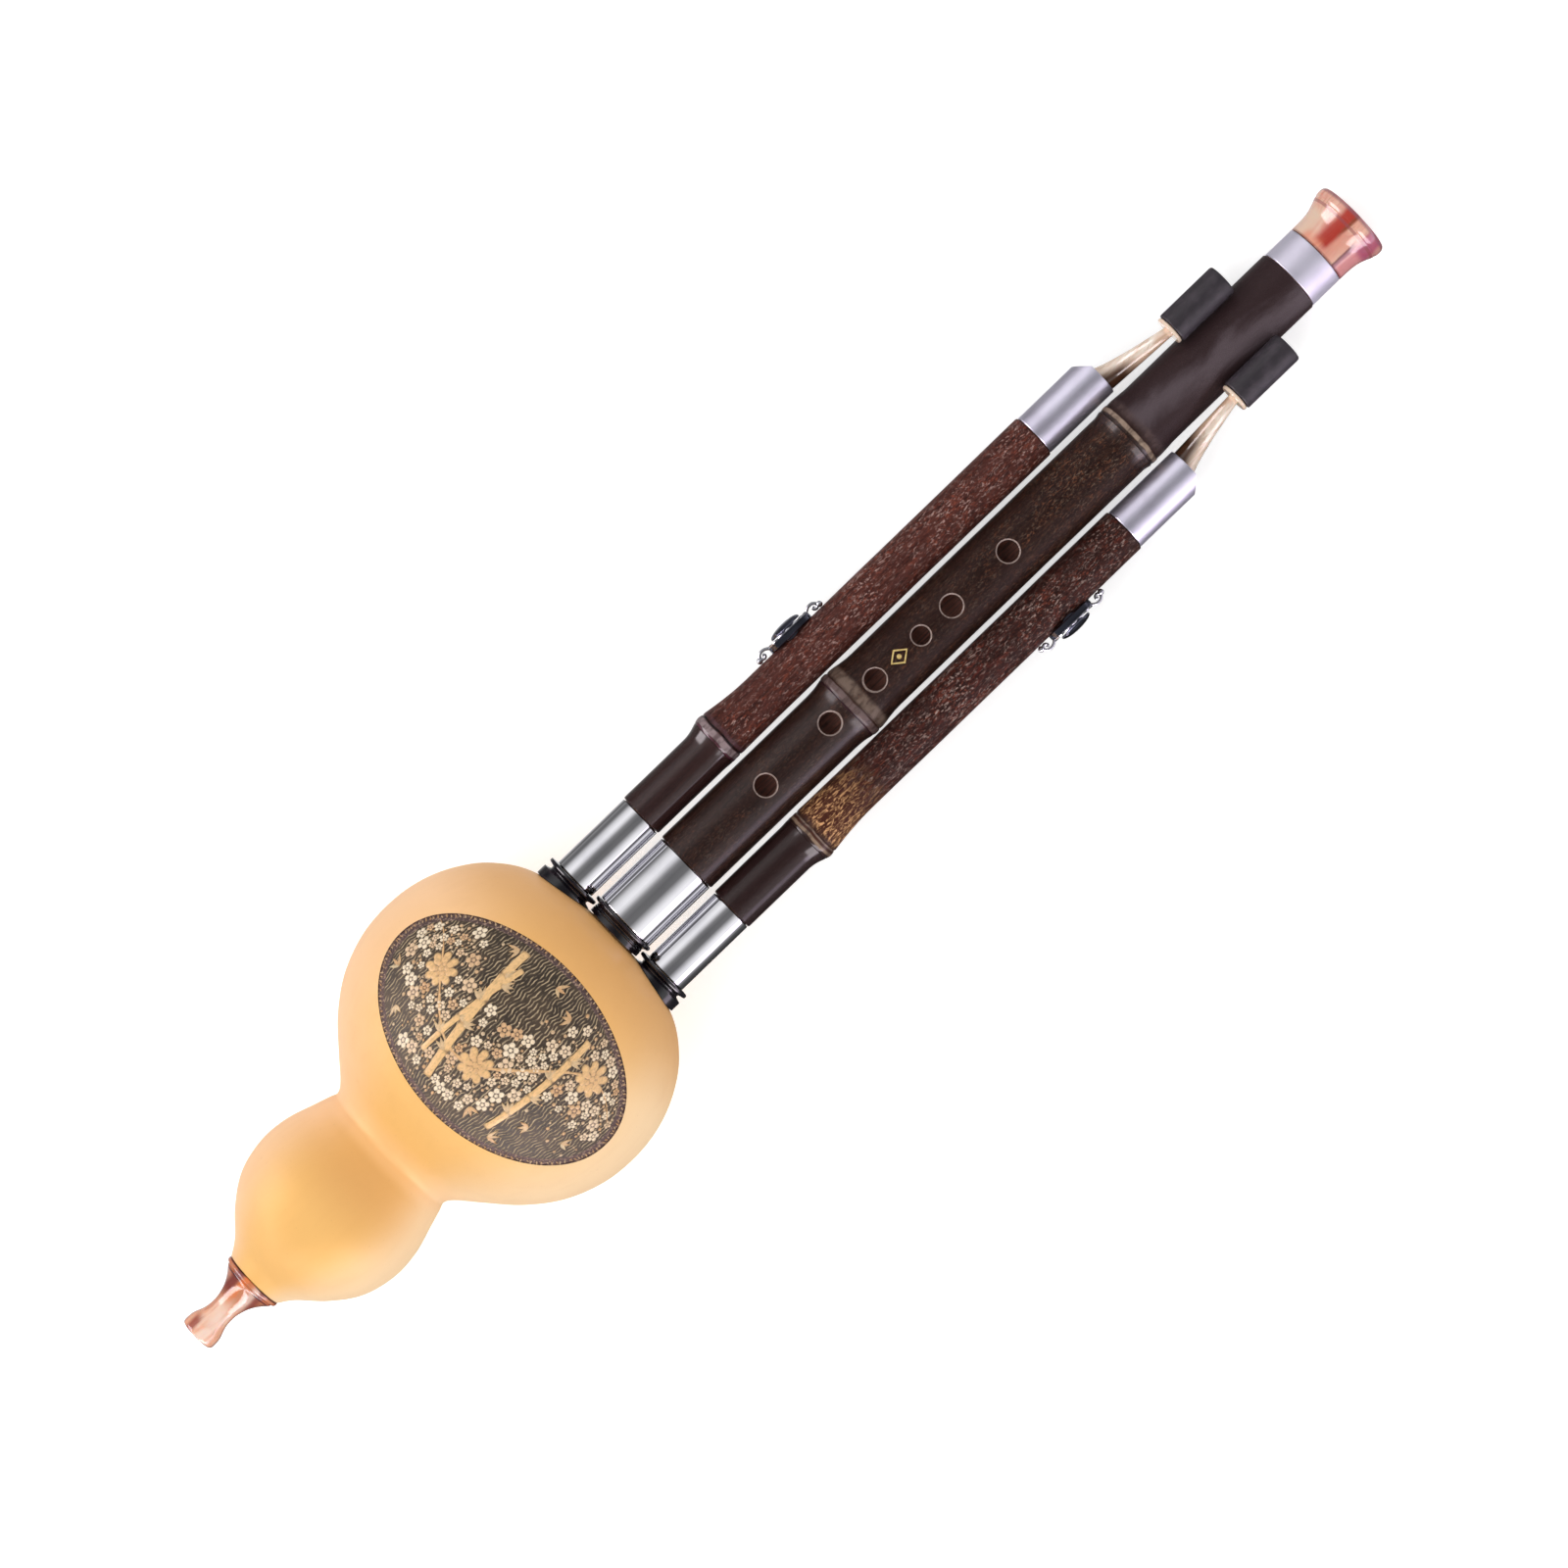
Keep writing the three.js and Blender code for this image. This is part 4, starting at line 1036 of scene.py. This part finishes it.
for corner in foil.verts:
    radius = pipe_radii["main"] + foil_lift + corner.co.z
    angle = corner.co.y / radius
    corner.co = (lozenge_place + corner.co.x, radius * math.sin(angle), radius * math.cos(angle))
make("gilt_lozenge", outward(foil), "main_pipe", "brass", [gilt_finish])

# Tip ring and bell
# A satin silver ring closes the main pipe's end and holds the bell, a flared cup of turned resin in cream,
# orange red and rose. Its rim is rounded over, and its throat opens from the pipe's bore.
_, ring_end, ring_radius = reach("main_tip_ring")
bell_foot, bell_end, bell_radius = reach("main_bell")
bell_start = ring_end + clearance
bell_length = bell_end - bell_start
tenon = ring_radius - ferrule_wall - clearance
throat_bore = 8.4
rim_bore = 12.4
bell_edge = 0.5
foot_round = 0.15
bell_shares = [(0, 0), (0.16, 0.01), (0.3, 0.05), (0.42, 0.15), (0.52, 0.3), (0.62, 0.52), (0.7, 0.73),
               (0.745, 0.83), (0.765, 0.82), (0.785, 0.88), (0.82, 0.96), (0.87, 1), (0.93, 0.99),
               (0.97, 0.93), (1, 0.8)]
flame = resin("flame_resin", 0.1, 0.2, (230, 184, 162), (220, 150, 134), (176, 96, 84), 0.35)
short_of_rim = between(flame.along, 534.5, 531)
streak_front(flame, [
    (10.0, 1.0, 4.5, (230, 200, 178), 0.85, short_of_rim),
    (1.6, 1.4, 2.6, (176, 48, 36), 0.95, between(flame.along, 523, 526)),
    (-0.9, 0.1, 1.0, (130, 60, 30), 0.8, between(flame.along, 528, 534)),
    (-3.6, 1.0, 2.2, (222, 158, 138), 0.7, short_of_rim),
    (-6.9, 0.5, 0.6, (104, 40, 40), 0.95, short_of_rim),
    (-9.8, 1.2, 2.6, (216, 140, 148), 0.8, short_of_rim),
    (-10.6, 1.6, 3.0, (168, 66, 108), 0.85, between(flame.along, 530, 533)),
    (4.5, 2.5, 2.0, (226, 132, 96), 0.6, between(flame.along, 528, 522)),
])
# Painted shade: a dark mauve line in the groove under the rounded rim
flame.coat((150, 78, 84), within(flame.along, 534.2, 534.6, 535.6, 535.2), 0.6)
flame.coat((142, 92, 104), between(flame.along, 538.2, 539.4), 0.75)
flame.coat((108, 40, 44), between(flame.along, 523.4, 522.6), 0.6)
# Painted shade at the bell's edges
flame.paint_edge_shade((146, 96, 106), 0.55, 0.95)
make("satin_tip_ring", thin_tube("main_tip_ring", 0), "main_pipe", "satin_silver", [satin_finish],
     "main_tip_ring")
bell_skin = scaled(bell_shares, bell_start + foot_round, bell_length - foot_round, ring_radius, bell_radius)
make("flame_bell", turned([
    (bell_foot, pipe_bores["main"]), (bell_foot, tenon), (bell_start, tenon),
    (bell_start, ring_radius - foot_round), *flowing(bell_skin, 4),
    (bell_end, rim_bore + bell_edge), (bell_end - bell_edge / 2, rim_bore),
    *flowing([(bell_end - bell_length * 0.2, rim_bore - 0.5), (bell_end - bell_length * 0.38, rim_bore - 2),
              (bell_start + bell_length * 0.4, throat_bore), (bell_start, pipe_bores["main"])], 5),
], 128), "main_pipe", "pink_resin", [flame.done()], "main_bell")

# Upper ferrules
# Satin silver tubes at the drones' tips, cut off slantwise on the outer side to let the nozzle bend out.
slant_depth = 4.6
for pipe, outer in drones.items():
    _, end, outside = reach(pipe + "_upper_ferrule")
    slant = bmesh.new()
    bmesh.ops.create_cube(slant, size=outside * 4)
    cut = (Matrix.Translation((end - slant_depth, beside[pipe] + outer * outside, 0))
           @ Matrix.Rotation(outer * math.pi / 4, 4, "Z") @ Matrix.Translation((outside * 2, 0, 0)))
    ferrule = carved(thin_tube(pipe + "_upper_ferrule", beside[pipe]), placed(slant, cut))
    make(pipe + "_satin_ferrule", ferrule, pipe + "_pipe", "satin_silver", [ferrule_silver],
         pipe + "_upper_ferrule")

# Nozzles
# Honey-coloured resin drawn to a bent cone: the air of a drone leaves through it. A collar at the end stops
# the cap, whose spigot it carries.
plug_length = 12.5
nozzle_neck = 1.9
nozzle_bore = 1.2
nozzle_taper_power = 0.47
nozzle_steps = 26
collar_length = 1.3
collar_radius = 5.3
collar_round = 0.3
nozzle_spigot = 3.2
nozzle_spigot_length = 13
nozzle_lean = 6.3
nozzle_forward = 10.2
upper_end = reach("high_drone_upper_ferrule")[1]
honey = resin("honey_resin", 0.14, 0.1, (238, 226, 214), (224, 200, 182), (176, 140, 114), 0.4)
# How far out from the straight inner side, as a share of the width there
beyond = between(honey.along, upper_end - 5, upper_end + 26)
width = figure("MULTIPLY_ADD", figure("POWER", beyond, nozzle_taper_power), -10.4, 14.2)
outness = figure("DIVIDE", figure("SUBTRACT", figure("ABSOLUTE", honey.beside), 14.0), width)
honey.coat((206, 172, 148), between(outness, 0.75, 0.1))
honey.coat((170, 132, 104), between(honey.cloudy(0.04, 0.45, 4, 1.0), 0.5, 0.64), 0.4)
honey.coat((72, 46, 32), between(outness, 0.8, 0.4), between(honey.along, upper_end + 14, upper_end + 5))
honey.coat((240, 212, 190), between(honey.along, upper_end + 24.5, upper_end + 25.5))
nozzle_finish = honey.done()
for pipe, outer in drones.items():
    foot, spigot_end, _ = reach(pipe + "_nozzle")
    _, base, outside = reach(pipe + "_upper_ferrule")
    plug_radius = outside - ferrule_wall - clearance
    end = spigot_end - nozzle_spigot_length
    collar_foot = end - collar_length
    plug_end = foot + plug_length
    narrowing = plug_radius - nozzle_neck
    shares = [(step / nozzle_steps) ** 2 for step in range(1, nozzle_steps + 1)]
    cone = [(plug_end + share * (collar_foot - plug_end),
             plug_radius - narrowing * share ** nozzle_taper_power) for share in shares]
    nozzle = turned([
        (foot, nozzle_bore), (foot, plug_radius - collar_round), (foot + collar_round, plug_radius),
        (plug_end, plug_radius), *cone, (collar_foot, collar_radius - collar_round),
        (collar_foot + collar_round, collar_radius), (end - collar_round, collar_radius),
        (end, collar_radius - collar_round), (end, nozzle_spigot), (spigot_end, nozzle_spigot),
        (spigot_end, nozzle_bore), *[(along, nozzle_bore) for along, _ in reversed(cone)],
        (plug_end, nozzle_bore),
    ], 72, beside[pipe])
    for corner in nozzle.verts:
        share = min(max((corner.co.x - base) / (collar_foot - base), 0), 1)
        narrowed = min(max((corner.co.x - plug_end) / (collar_foot - plug_end), 0), 1) ** nozzle_taper_power
        corner.co.y -= outer * (narrowing * narrowed + share * (nozzle_lean - narrowing))
        corner.co.z += nozzle_forward * share * share * (3 - 2 * share)
    make(pipe + "_honey_nozzle", nozzle, pipe + "_pipe", "pale_resin", [nozzle_finish], pipe + "_nozzle")

# Drone caps
# Matt black rubber cups that slide over the nozzles' spigots and stop a drone. Moulded, with a soft edge.
cap_end_wall = 9
cap_radius = 5.75
cap_bore = nozzle_spigot + clearance
rubber = Finish("black_rubber")
rubber.colour = mixed(between(rubber.cloudy(0.2, 0.25, 4), 0.4, 0.75), (32, 27, 33), (50, 43, 50))
grit = rubber.cloudy(3, 3)
rubber_finish = rubber.done(grit, 0.00006, Roughness=figure("MULTIPLY_ADD", grit, 0.25, 0.45))
for pipe, outer in drones.items():
    start, end, _ = reach(pipe + "_cap")
    cap = turned([
        (end - cap_end_wall, 0), (end - cap_end_wall, cap_bore), (start, cap_bore),
        (start, cap_radius - 0.35), (start + 0.12, cap_radius - 0.12), (start + 0.4, cap_radius),
        (start + 0.8, cap_radius),
        (end - 1.4, cap_radius), (end - 1, cap_radius), (end - 0.45, cap_radius - 0.12),
        (end - 0.12, cap_radius - 0.45), (end, cap_radius - 1), (end, 0),
    ], 96, beside[pipe] - outer * nozzle_lean)
    make(pipe + "_rubber_cap", placed(cap, Matrix.Translation((0, 0, nozzle_forward))), pipe + "_end_cap",
         "black_rubber", [rubber_finish], pipe + "_cap")

# Rosettes and stoppers
# Silvered castings round the drones' tone holes: an oval plate with petals, a scroll and a bead at each end.
# A domed stopper with a ribbed edge sits in the middle and pulls straight out.
plate_length, plate_width = 9.15, 6.5
plate_rise = 2.7
plate_sink = 0.4
seat_radius = 4.6
well_depth = 0.5
saddle_length = 20
petal_count = 16
petal_depth = 0.25
scroll_radius = 0.55
bead_radius = 1.1
bead_place = 13.9
stopper_radius = 6.25
dome_rise = 1.6
rib_count = 32
rib_depth = 0.012
silver_finish = metal_finish("old_silver", (222, 222, 230), (160, 160, 168), 0.14, 0.1)
dark_chrome = metal_finish("dark_chrome", (110, 112, 128), (72, 74, 88), 0.1, 0.06)
# A scroll, seen from beside the pipe: millimetres from the plate's middle along it, and above its skin
scroll_points = [(8.2, 1.5), (9.4, 2.6), (11, 3.1), (12.5, 2.7), (13.2, 1.6), (12.6, 0.8), (11.6, 0.9),
                 (11.3, 1.6), (11.9, 2.0)]


def wound(points, radius):
    """A round wire along a smooth curve through the points, closed at its ends."""
    curve = bpy.data.curves.new("wire", "CURVE")
    curve.dimensions = "3D"
    curve.bevel_depth = radius
    curve.bevel_resolution = 4
    curve.resolution_u = 6
    curve.use_fill_caps = True
    spline = curve.splines.new("BEZIER")
    spline.bezier_points.add(len(points) - 1)
    for knot, point in zip(spline.bezier_points, points):
        knot.co = point
        knot.handle_left_type = knot.handle_right_type = "AUTO"
    loose = put("wire", curve)
    shape = bmesh.new()
    shape.from_mesh(worked_out(loose))
    bpy.data.objects.remove(loose)
    return shape


def turn_about_z(corner):
    return math.atan2(corner.co.y, corner.co.x)


for pipe, outer in drones.items():
    # From a shape drawn with the drone's line below it, facing +Z, to its place on the drone's outer side
    facing_out = (Matrix.Translation((drone_holes[pipe], beside[pipe], 0))
                  @ Matrix.Rotation(-outer * math.pi / 2, 4, "X"))
    skin = pipe_radii[pipe]
    top, low, edge = skin + plate_rise, skin - plate_sink, plate_length
    plate = spun_disc([
        (0, 2), (seat_radius, 2), (seat_radius, low), (edge - 0.5, low), (edge, low + 0.4),
        (edge, top - 1.25), (edge - 0.35, top - 1.1), (edge - 0.35, top - 0.9), (edge, top - 0.75),
        (edge, top - 0.4), (edge - 0.2, top - 0.1), (edge - 0.5, top), (edge - 1.1, top - 0.05),
        (6.9, top - well_depth), (6.6, top - well_depth), (0, top - well_depth),
    ], petal_count * 6)
    for corner in plate.verts:
        if corner.co.z > top - 0.3:
            corner.co.z -= petal_depth * (0.5 - 0.5 * math.cos(petal_count * turn_about_z(corner)))
        if corner.co.z > low - 0.1:
            corner.co.y *= plate_width / plate_length
    saddle = turned(rod(-saddle_length, saddle_length, skin + 0.05), 96)
    bore = spun_disc([(0, 0), (tone_hole, 0), (tone_hole, top + 2), (0, top + 2)], 48)
    casting = bmesh.new()
    join(casting, carved(outward(plate), saddle, outward(bore)))
    for face in casting.faces:
        face.material_index = 1 if face.calc_center_median().z < top - 0.7 else 0
    for end in (1, -1):
        scroll = [(end * along, 0, skin + height) for along, height in scroll_points]
        join(casting, wound(scroll, scroll_radius))
        bead = bmesh.new()
        bmesh.ops.create_uvsphere(bead, u_segments=20, v_segments=12, radius=bead_radius)
        join(casting, placed(bead, Matrix.Translation((end * bead_place, 0, skin + bead_radius))))
    make(pipe + "_silver_rosette", outward(placed(casting, facing_out)), pipe + "_pipe", "satin_silver",
         [silver_finish, dark_chrome], pipe + "_rosette")

    stem = tone_hole - clearance
    foot = pipe_bores[pipe] + clearance
    base = top + clearance
    slopes = [math.radians(angle) for angle in range(0, 90, 10)]
    dome = [(stopper_radius * math.cos(slope), base + 0.5 + dome_rise * math.sin(slope)) for slope in slopes]
    stopper = spun_disc([(0, foot), (stem, foot), (stem, base), (stopper_radius - 0.2, base),
                         (stopper_radius, base + 0.2), *dome, (0, base + 0.5 + dome_rise)], 96)
    for corner in stopper.verts:
        if base + 0.1 < corner.co.z < base + 0.6:
            size = 1 - rib_depth * (1 + math.cos(rib_count * turn_about_z(corner)))
            corner.co.x *= size
            corner.co.y *= size
    make(pipe + "_dome_stopper", outward(placed(stopper, facing_out)), pipe + "_tone_stopper", "satin_silver",
         [dark_chrome], pipe + "_stopper")

# Reeds
# Inside the gourd each pipe ends in a boxwood stock, closed at its foot, with a flat cut on its front. A
# brass plate lies on the flat with a tongue cut free in it, which swings in its slot as air goes through.
stock_wall = 1.7
stock_floor = 3
reed_gap = 0.3
past_stock = 20
boxwood = Finish("boxwood", Roughness=0.5)
rings = between(boxwood.cloudy(0.02, 0.45, 4, 1.0), 0.35, 0.65)
fibres = boxwood.cloudy(0.15, 2.2, 4)
boxwood.colour = mixed(rings, (222, 190, 134), (196, 158, 102))
boxwood.coat((160, 118, 72), fibres, 0.3)
stock_finish = boxwood.done(fibres, 0.00012)
brass_finish = metal_finish("brass", (226, 188, 110), (190, 146, 78), 0.22, 0.08)
for pipe, off_line in beside.items():
    foot, end, outside = reach(pipe + "_reed_stock")
    inside, floor = outside - stock_wall, foot + stock_floor
    stock = turned([(foot, 0), (foot, outside - 0.5), (foot + 0.5, outside), (end - 0.4, outside),
                    (end, outside - 0.4), (end, inside), (floor, inside), (floor, 0)], 72, off_line)
    cutters = []
    for node in (pipe + "_reed_plate", pipe + "_reed_tongue"):
        frame["nodes"][node].material_slots[0].material = brass_finish
        low, high = (Vector([pick(values) for values in zip(*corners_of(node))]) for pick in (min, max))
        if node == pipe + "_reed_plate":
            low.y, high.y, low.z = off_line - past_stock, off_line + past_stock, low.z - reed_gap
        else:
            low.z = outside / 2
        high.z = outside * 2
        cutter = bmesh.new()
        bmesh.ops.create_cube(cutter, size=1)
        bmesh.ops.scale(cutter, vec=high - low + Vector((2 * reed_gap, 2 * reed_gap, 0)), verts=cutter.verts)
        cutters.append(placed(cutter, Matrix.Translation((low + high) / 2)))
    make(pipe + "_boxwood_stock", carved(stock, *cutters), pipe + "_pipe", "pale_wood", [stock_finish],
         pipe + "_reed_stock")

# Studio
# The instrument lies on a white table under soft light from all round, a little stronger from the side of the
# mouthpiece. Metal reflects white walls at both sides, a grey ceiling over the camera and a dark floor.
soft_light = 0.665
floor_glow = 0.48
# In half turns from straight above the instrument, down past its low (-) or high (+) drone: how bright it is
# there in reflections
wall_levels = {-1.0: 0.04, -0.75: 0.05, -0.62: 0.1, -0.55: 0.3, -0.48: 0.72, -0.38: 1.0, -0.3: 0.95,
               -0.24: 0.72, -0.18: 0.42, -0.12: 0.16, 0.0: 0.14, 0.08: 0.2, 0.12: 0.33, 0.18: 0.72,
               0.24: 0.93, 0.3: 0.86, 0.38: 0.63, 0.44: 0.32, 0.49: 0.14, 0.56: 0.15, 0.62: 0.25,
               0.7: 0.1, 1.0: 0.04}
window_share = (0.38, 0.5)
window_level = 2.9
near_level = 7.5
glint_share = (0.24, 0.48)
glint_level = 9.0
picture_width = 526.8
aim = Vector((270.5, -3.9, 0))
roll = math.radians(44)
camera = bpy.data.cameras.new("camera")
camera.lens = 124.0
camera.sensor_width = 36.0
eye = put("camera", camera)
bpy.context.scene.camera = eye
right = math.cos(roll) * line - math.sin(roll) * side
upward = math.sin(roll) * line + math.cos(roll) * side
stand_off = Vector((0, 0, picture_width * camera.lens / camera.sensor_width))
eye.matrix_world = (Matrix.Translation(lay @ (aim + stand_off))
                    @ Matrix((right, upward, front)).transposed().to_4x4())

disc = bmesh.new()
bmesh.ops.create_circle(disc, cap_ends=True, segments=96, radius=4)
table = put("table", as_mesh("table", disc))
white = Finish("table_white", Roughness=0.9, Specular_IOR_Level=0.0, Emission_Strength=floor_glow)
fibres = wire("TexNoise", {"Vector": white.start("TexCoord").outputs["Object"], "Scale": 3.0}).outputs["Fac"]
white.colour = mixed(fibres, (0.9, 0.9, 0.9, 1), (0.94, 0.94, 0.94, 1))
table.data.materials.append(white.done(Emission_Color=white.colour))
table.visible_glossy = False

world = bpy.data.worlds.new("studio")
bpy.context.scene.world = world
world.use_nodes = True
rays = wire("LightPath", {}, world.node_tree).outputs
toward = wire("TexCoord", {}, world.node_tree).outputs["Generated"]
across, ahead, onward = (wire("VectorMath", {0: toward, 1: way}, operation="DOT_PRODUCT").outputs["Value"]
                         for way in (side, front, line))
half_turns = figure("DIVIDE", figure("ARCTAN2", across, ahead), math.pi)
walls = wire("ValToRGB", {"Fac": figure("MULTIPLY_ADD", half_turns, 0.5, 0.5)})
ramp = walls.color_ramp
for stop, level in wall_levels.items():
    ramp.elements.new(stop / 2 + 0.5).color = (level, level, level, 1)
ramp.elements.remove(ramp.elements[0])
ramp.elements.remove(ramp.elements[-1])
seen = figure("MAXIMUM", rays["Is Camera Ray"], rays["Is Transmission Ray"])
plain = wire("MapRange", {"Value": seen, "To Min": soft_light, "To Max": 1.0}).outputs["Result"]
pane, glint = (band(figure("ABSOLUTE", half_turns), low, high, 0.03)
               for low, high in (window_share, glint_share))
window = times(pane, figure("LESS_THAN", across, 0.0))
near_window = times(window, between(onward, -0.1, -0.2))
lit = walls.outputs["Color"]
for share, level, green, blue in (
    (window, window_level, 0.87, 1.04),
    (near_window, near_level, 0.87, 1.04),
    (times(glint, between(onward, -0.25, -0.33)), glint_level, 0.92, 0.96),
):
    lit = mixed(share, lit, (level, level * green, level * blue, 1))
backdrop = world.node_tree.nodes["Background"].inputs["Color"]
world.node_tree.links.new(mixed(rays["Is Glossy Ray"], plain, lit), backdrop)

for name, spot, size, power in (
    ("key", Vector((-700, 250, 1500)), 1.2, 11),
    ("fill", Vector((900, -700, 1500)), 1.2, 4),
):
    lamp = bpy.data.lights.new(name, "AREA")
    lamp.size = size
    lamp.energy = power
    stand = put(name, lamp)
    stand.visible_glossy = False
    place = lay @ (aim + spot)
    stand.matrix_world = (Matrix.Translation(place)
                          @ (place - lay @ aim).to_track_quat("Z", "Y").to_matrix().to_4x4())

bpy.context.scene.view_settings.view_transform = "Standard"

bpy.context.view_layer.update()
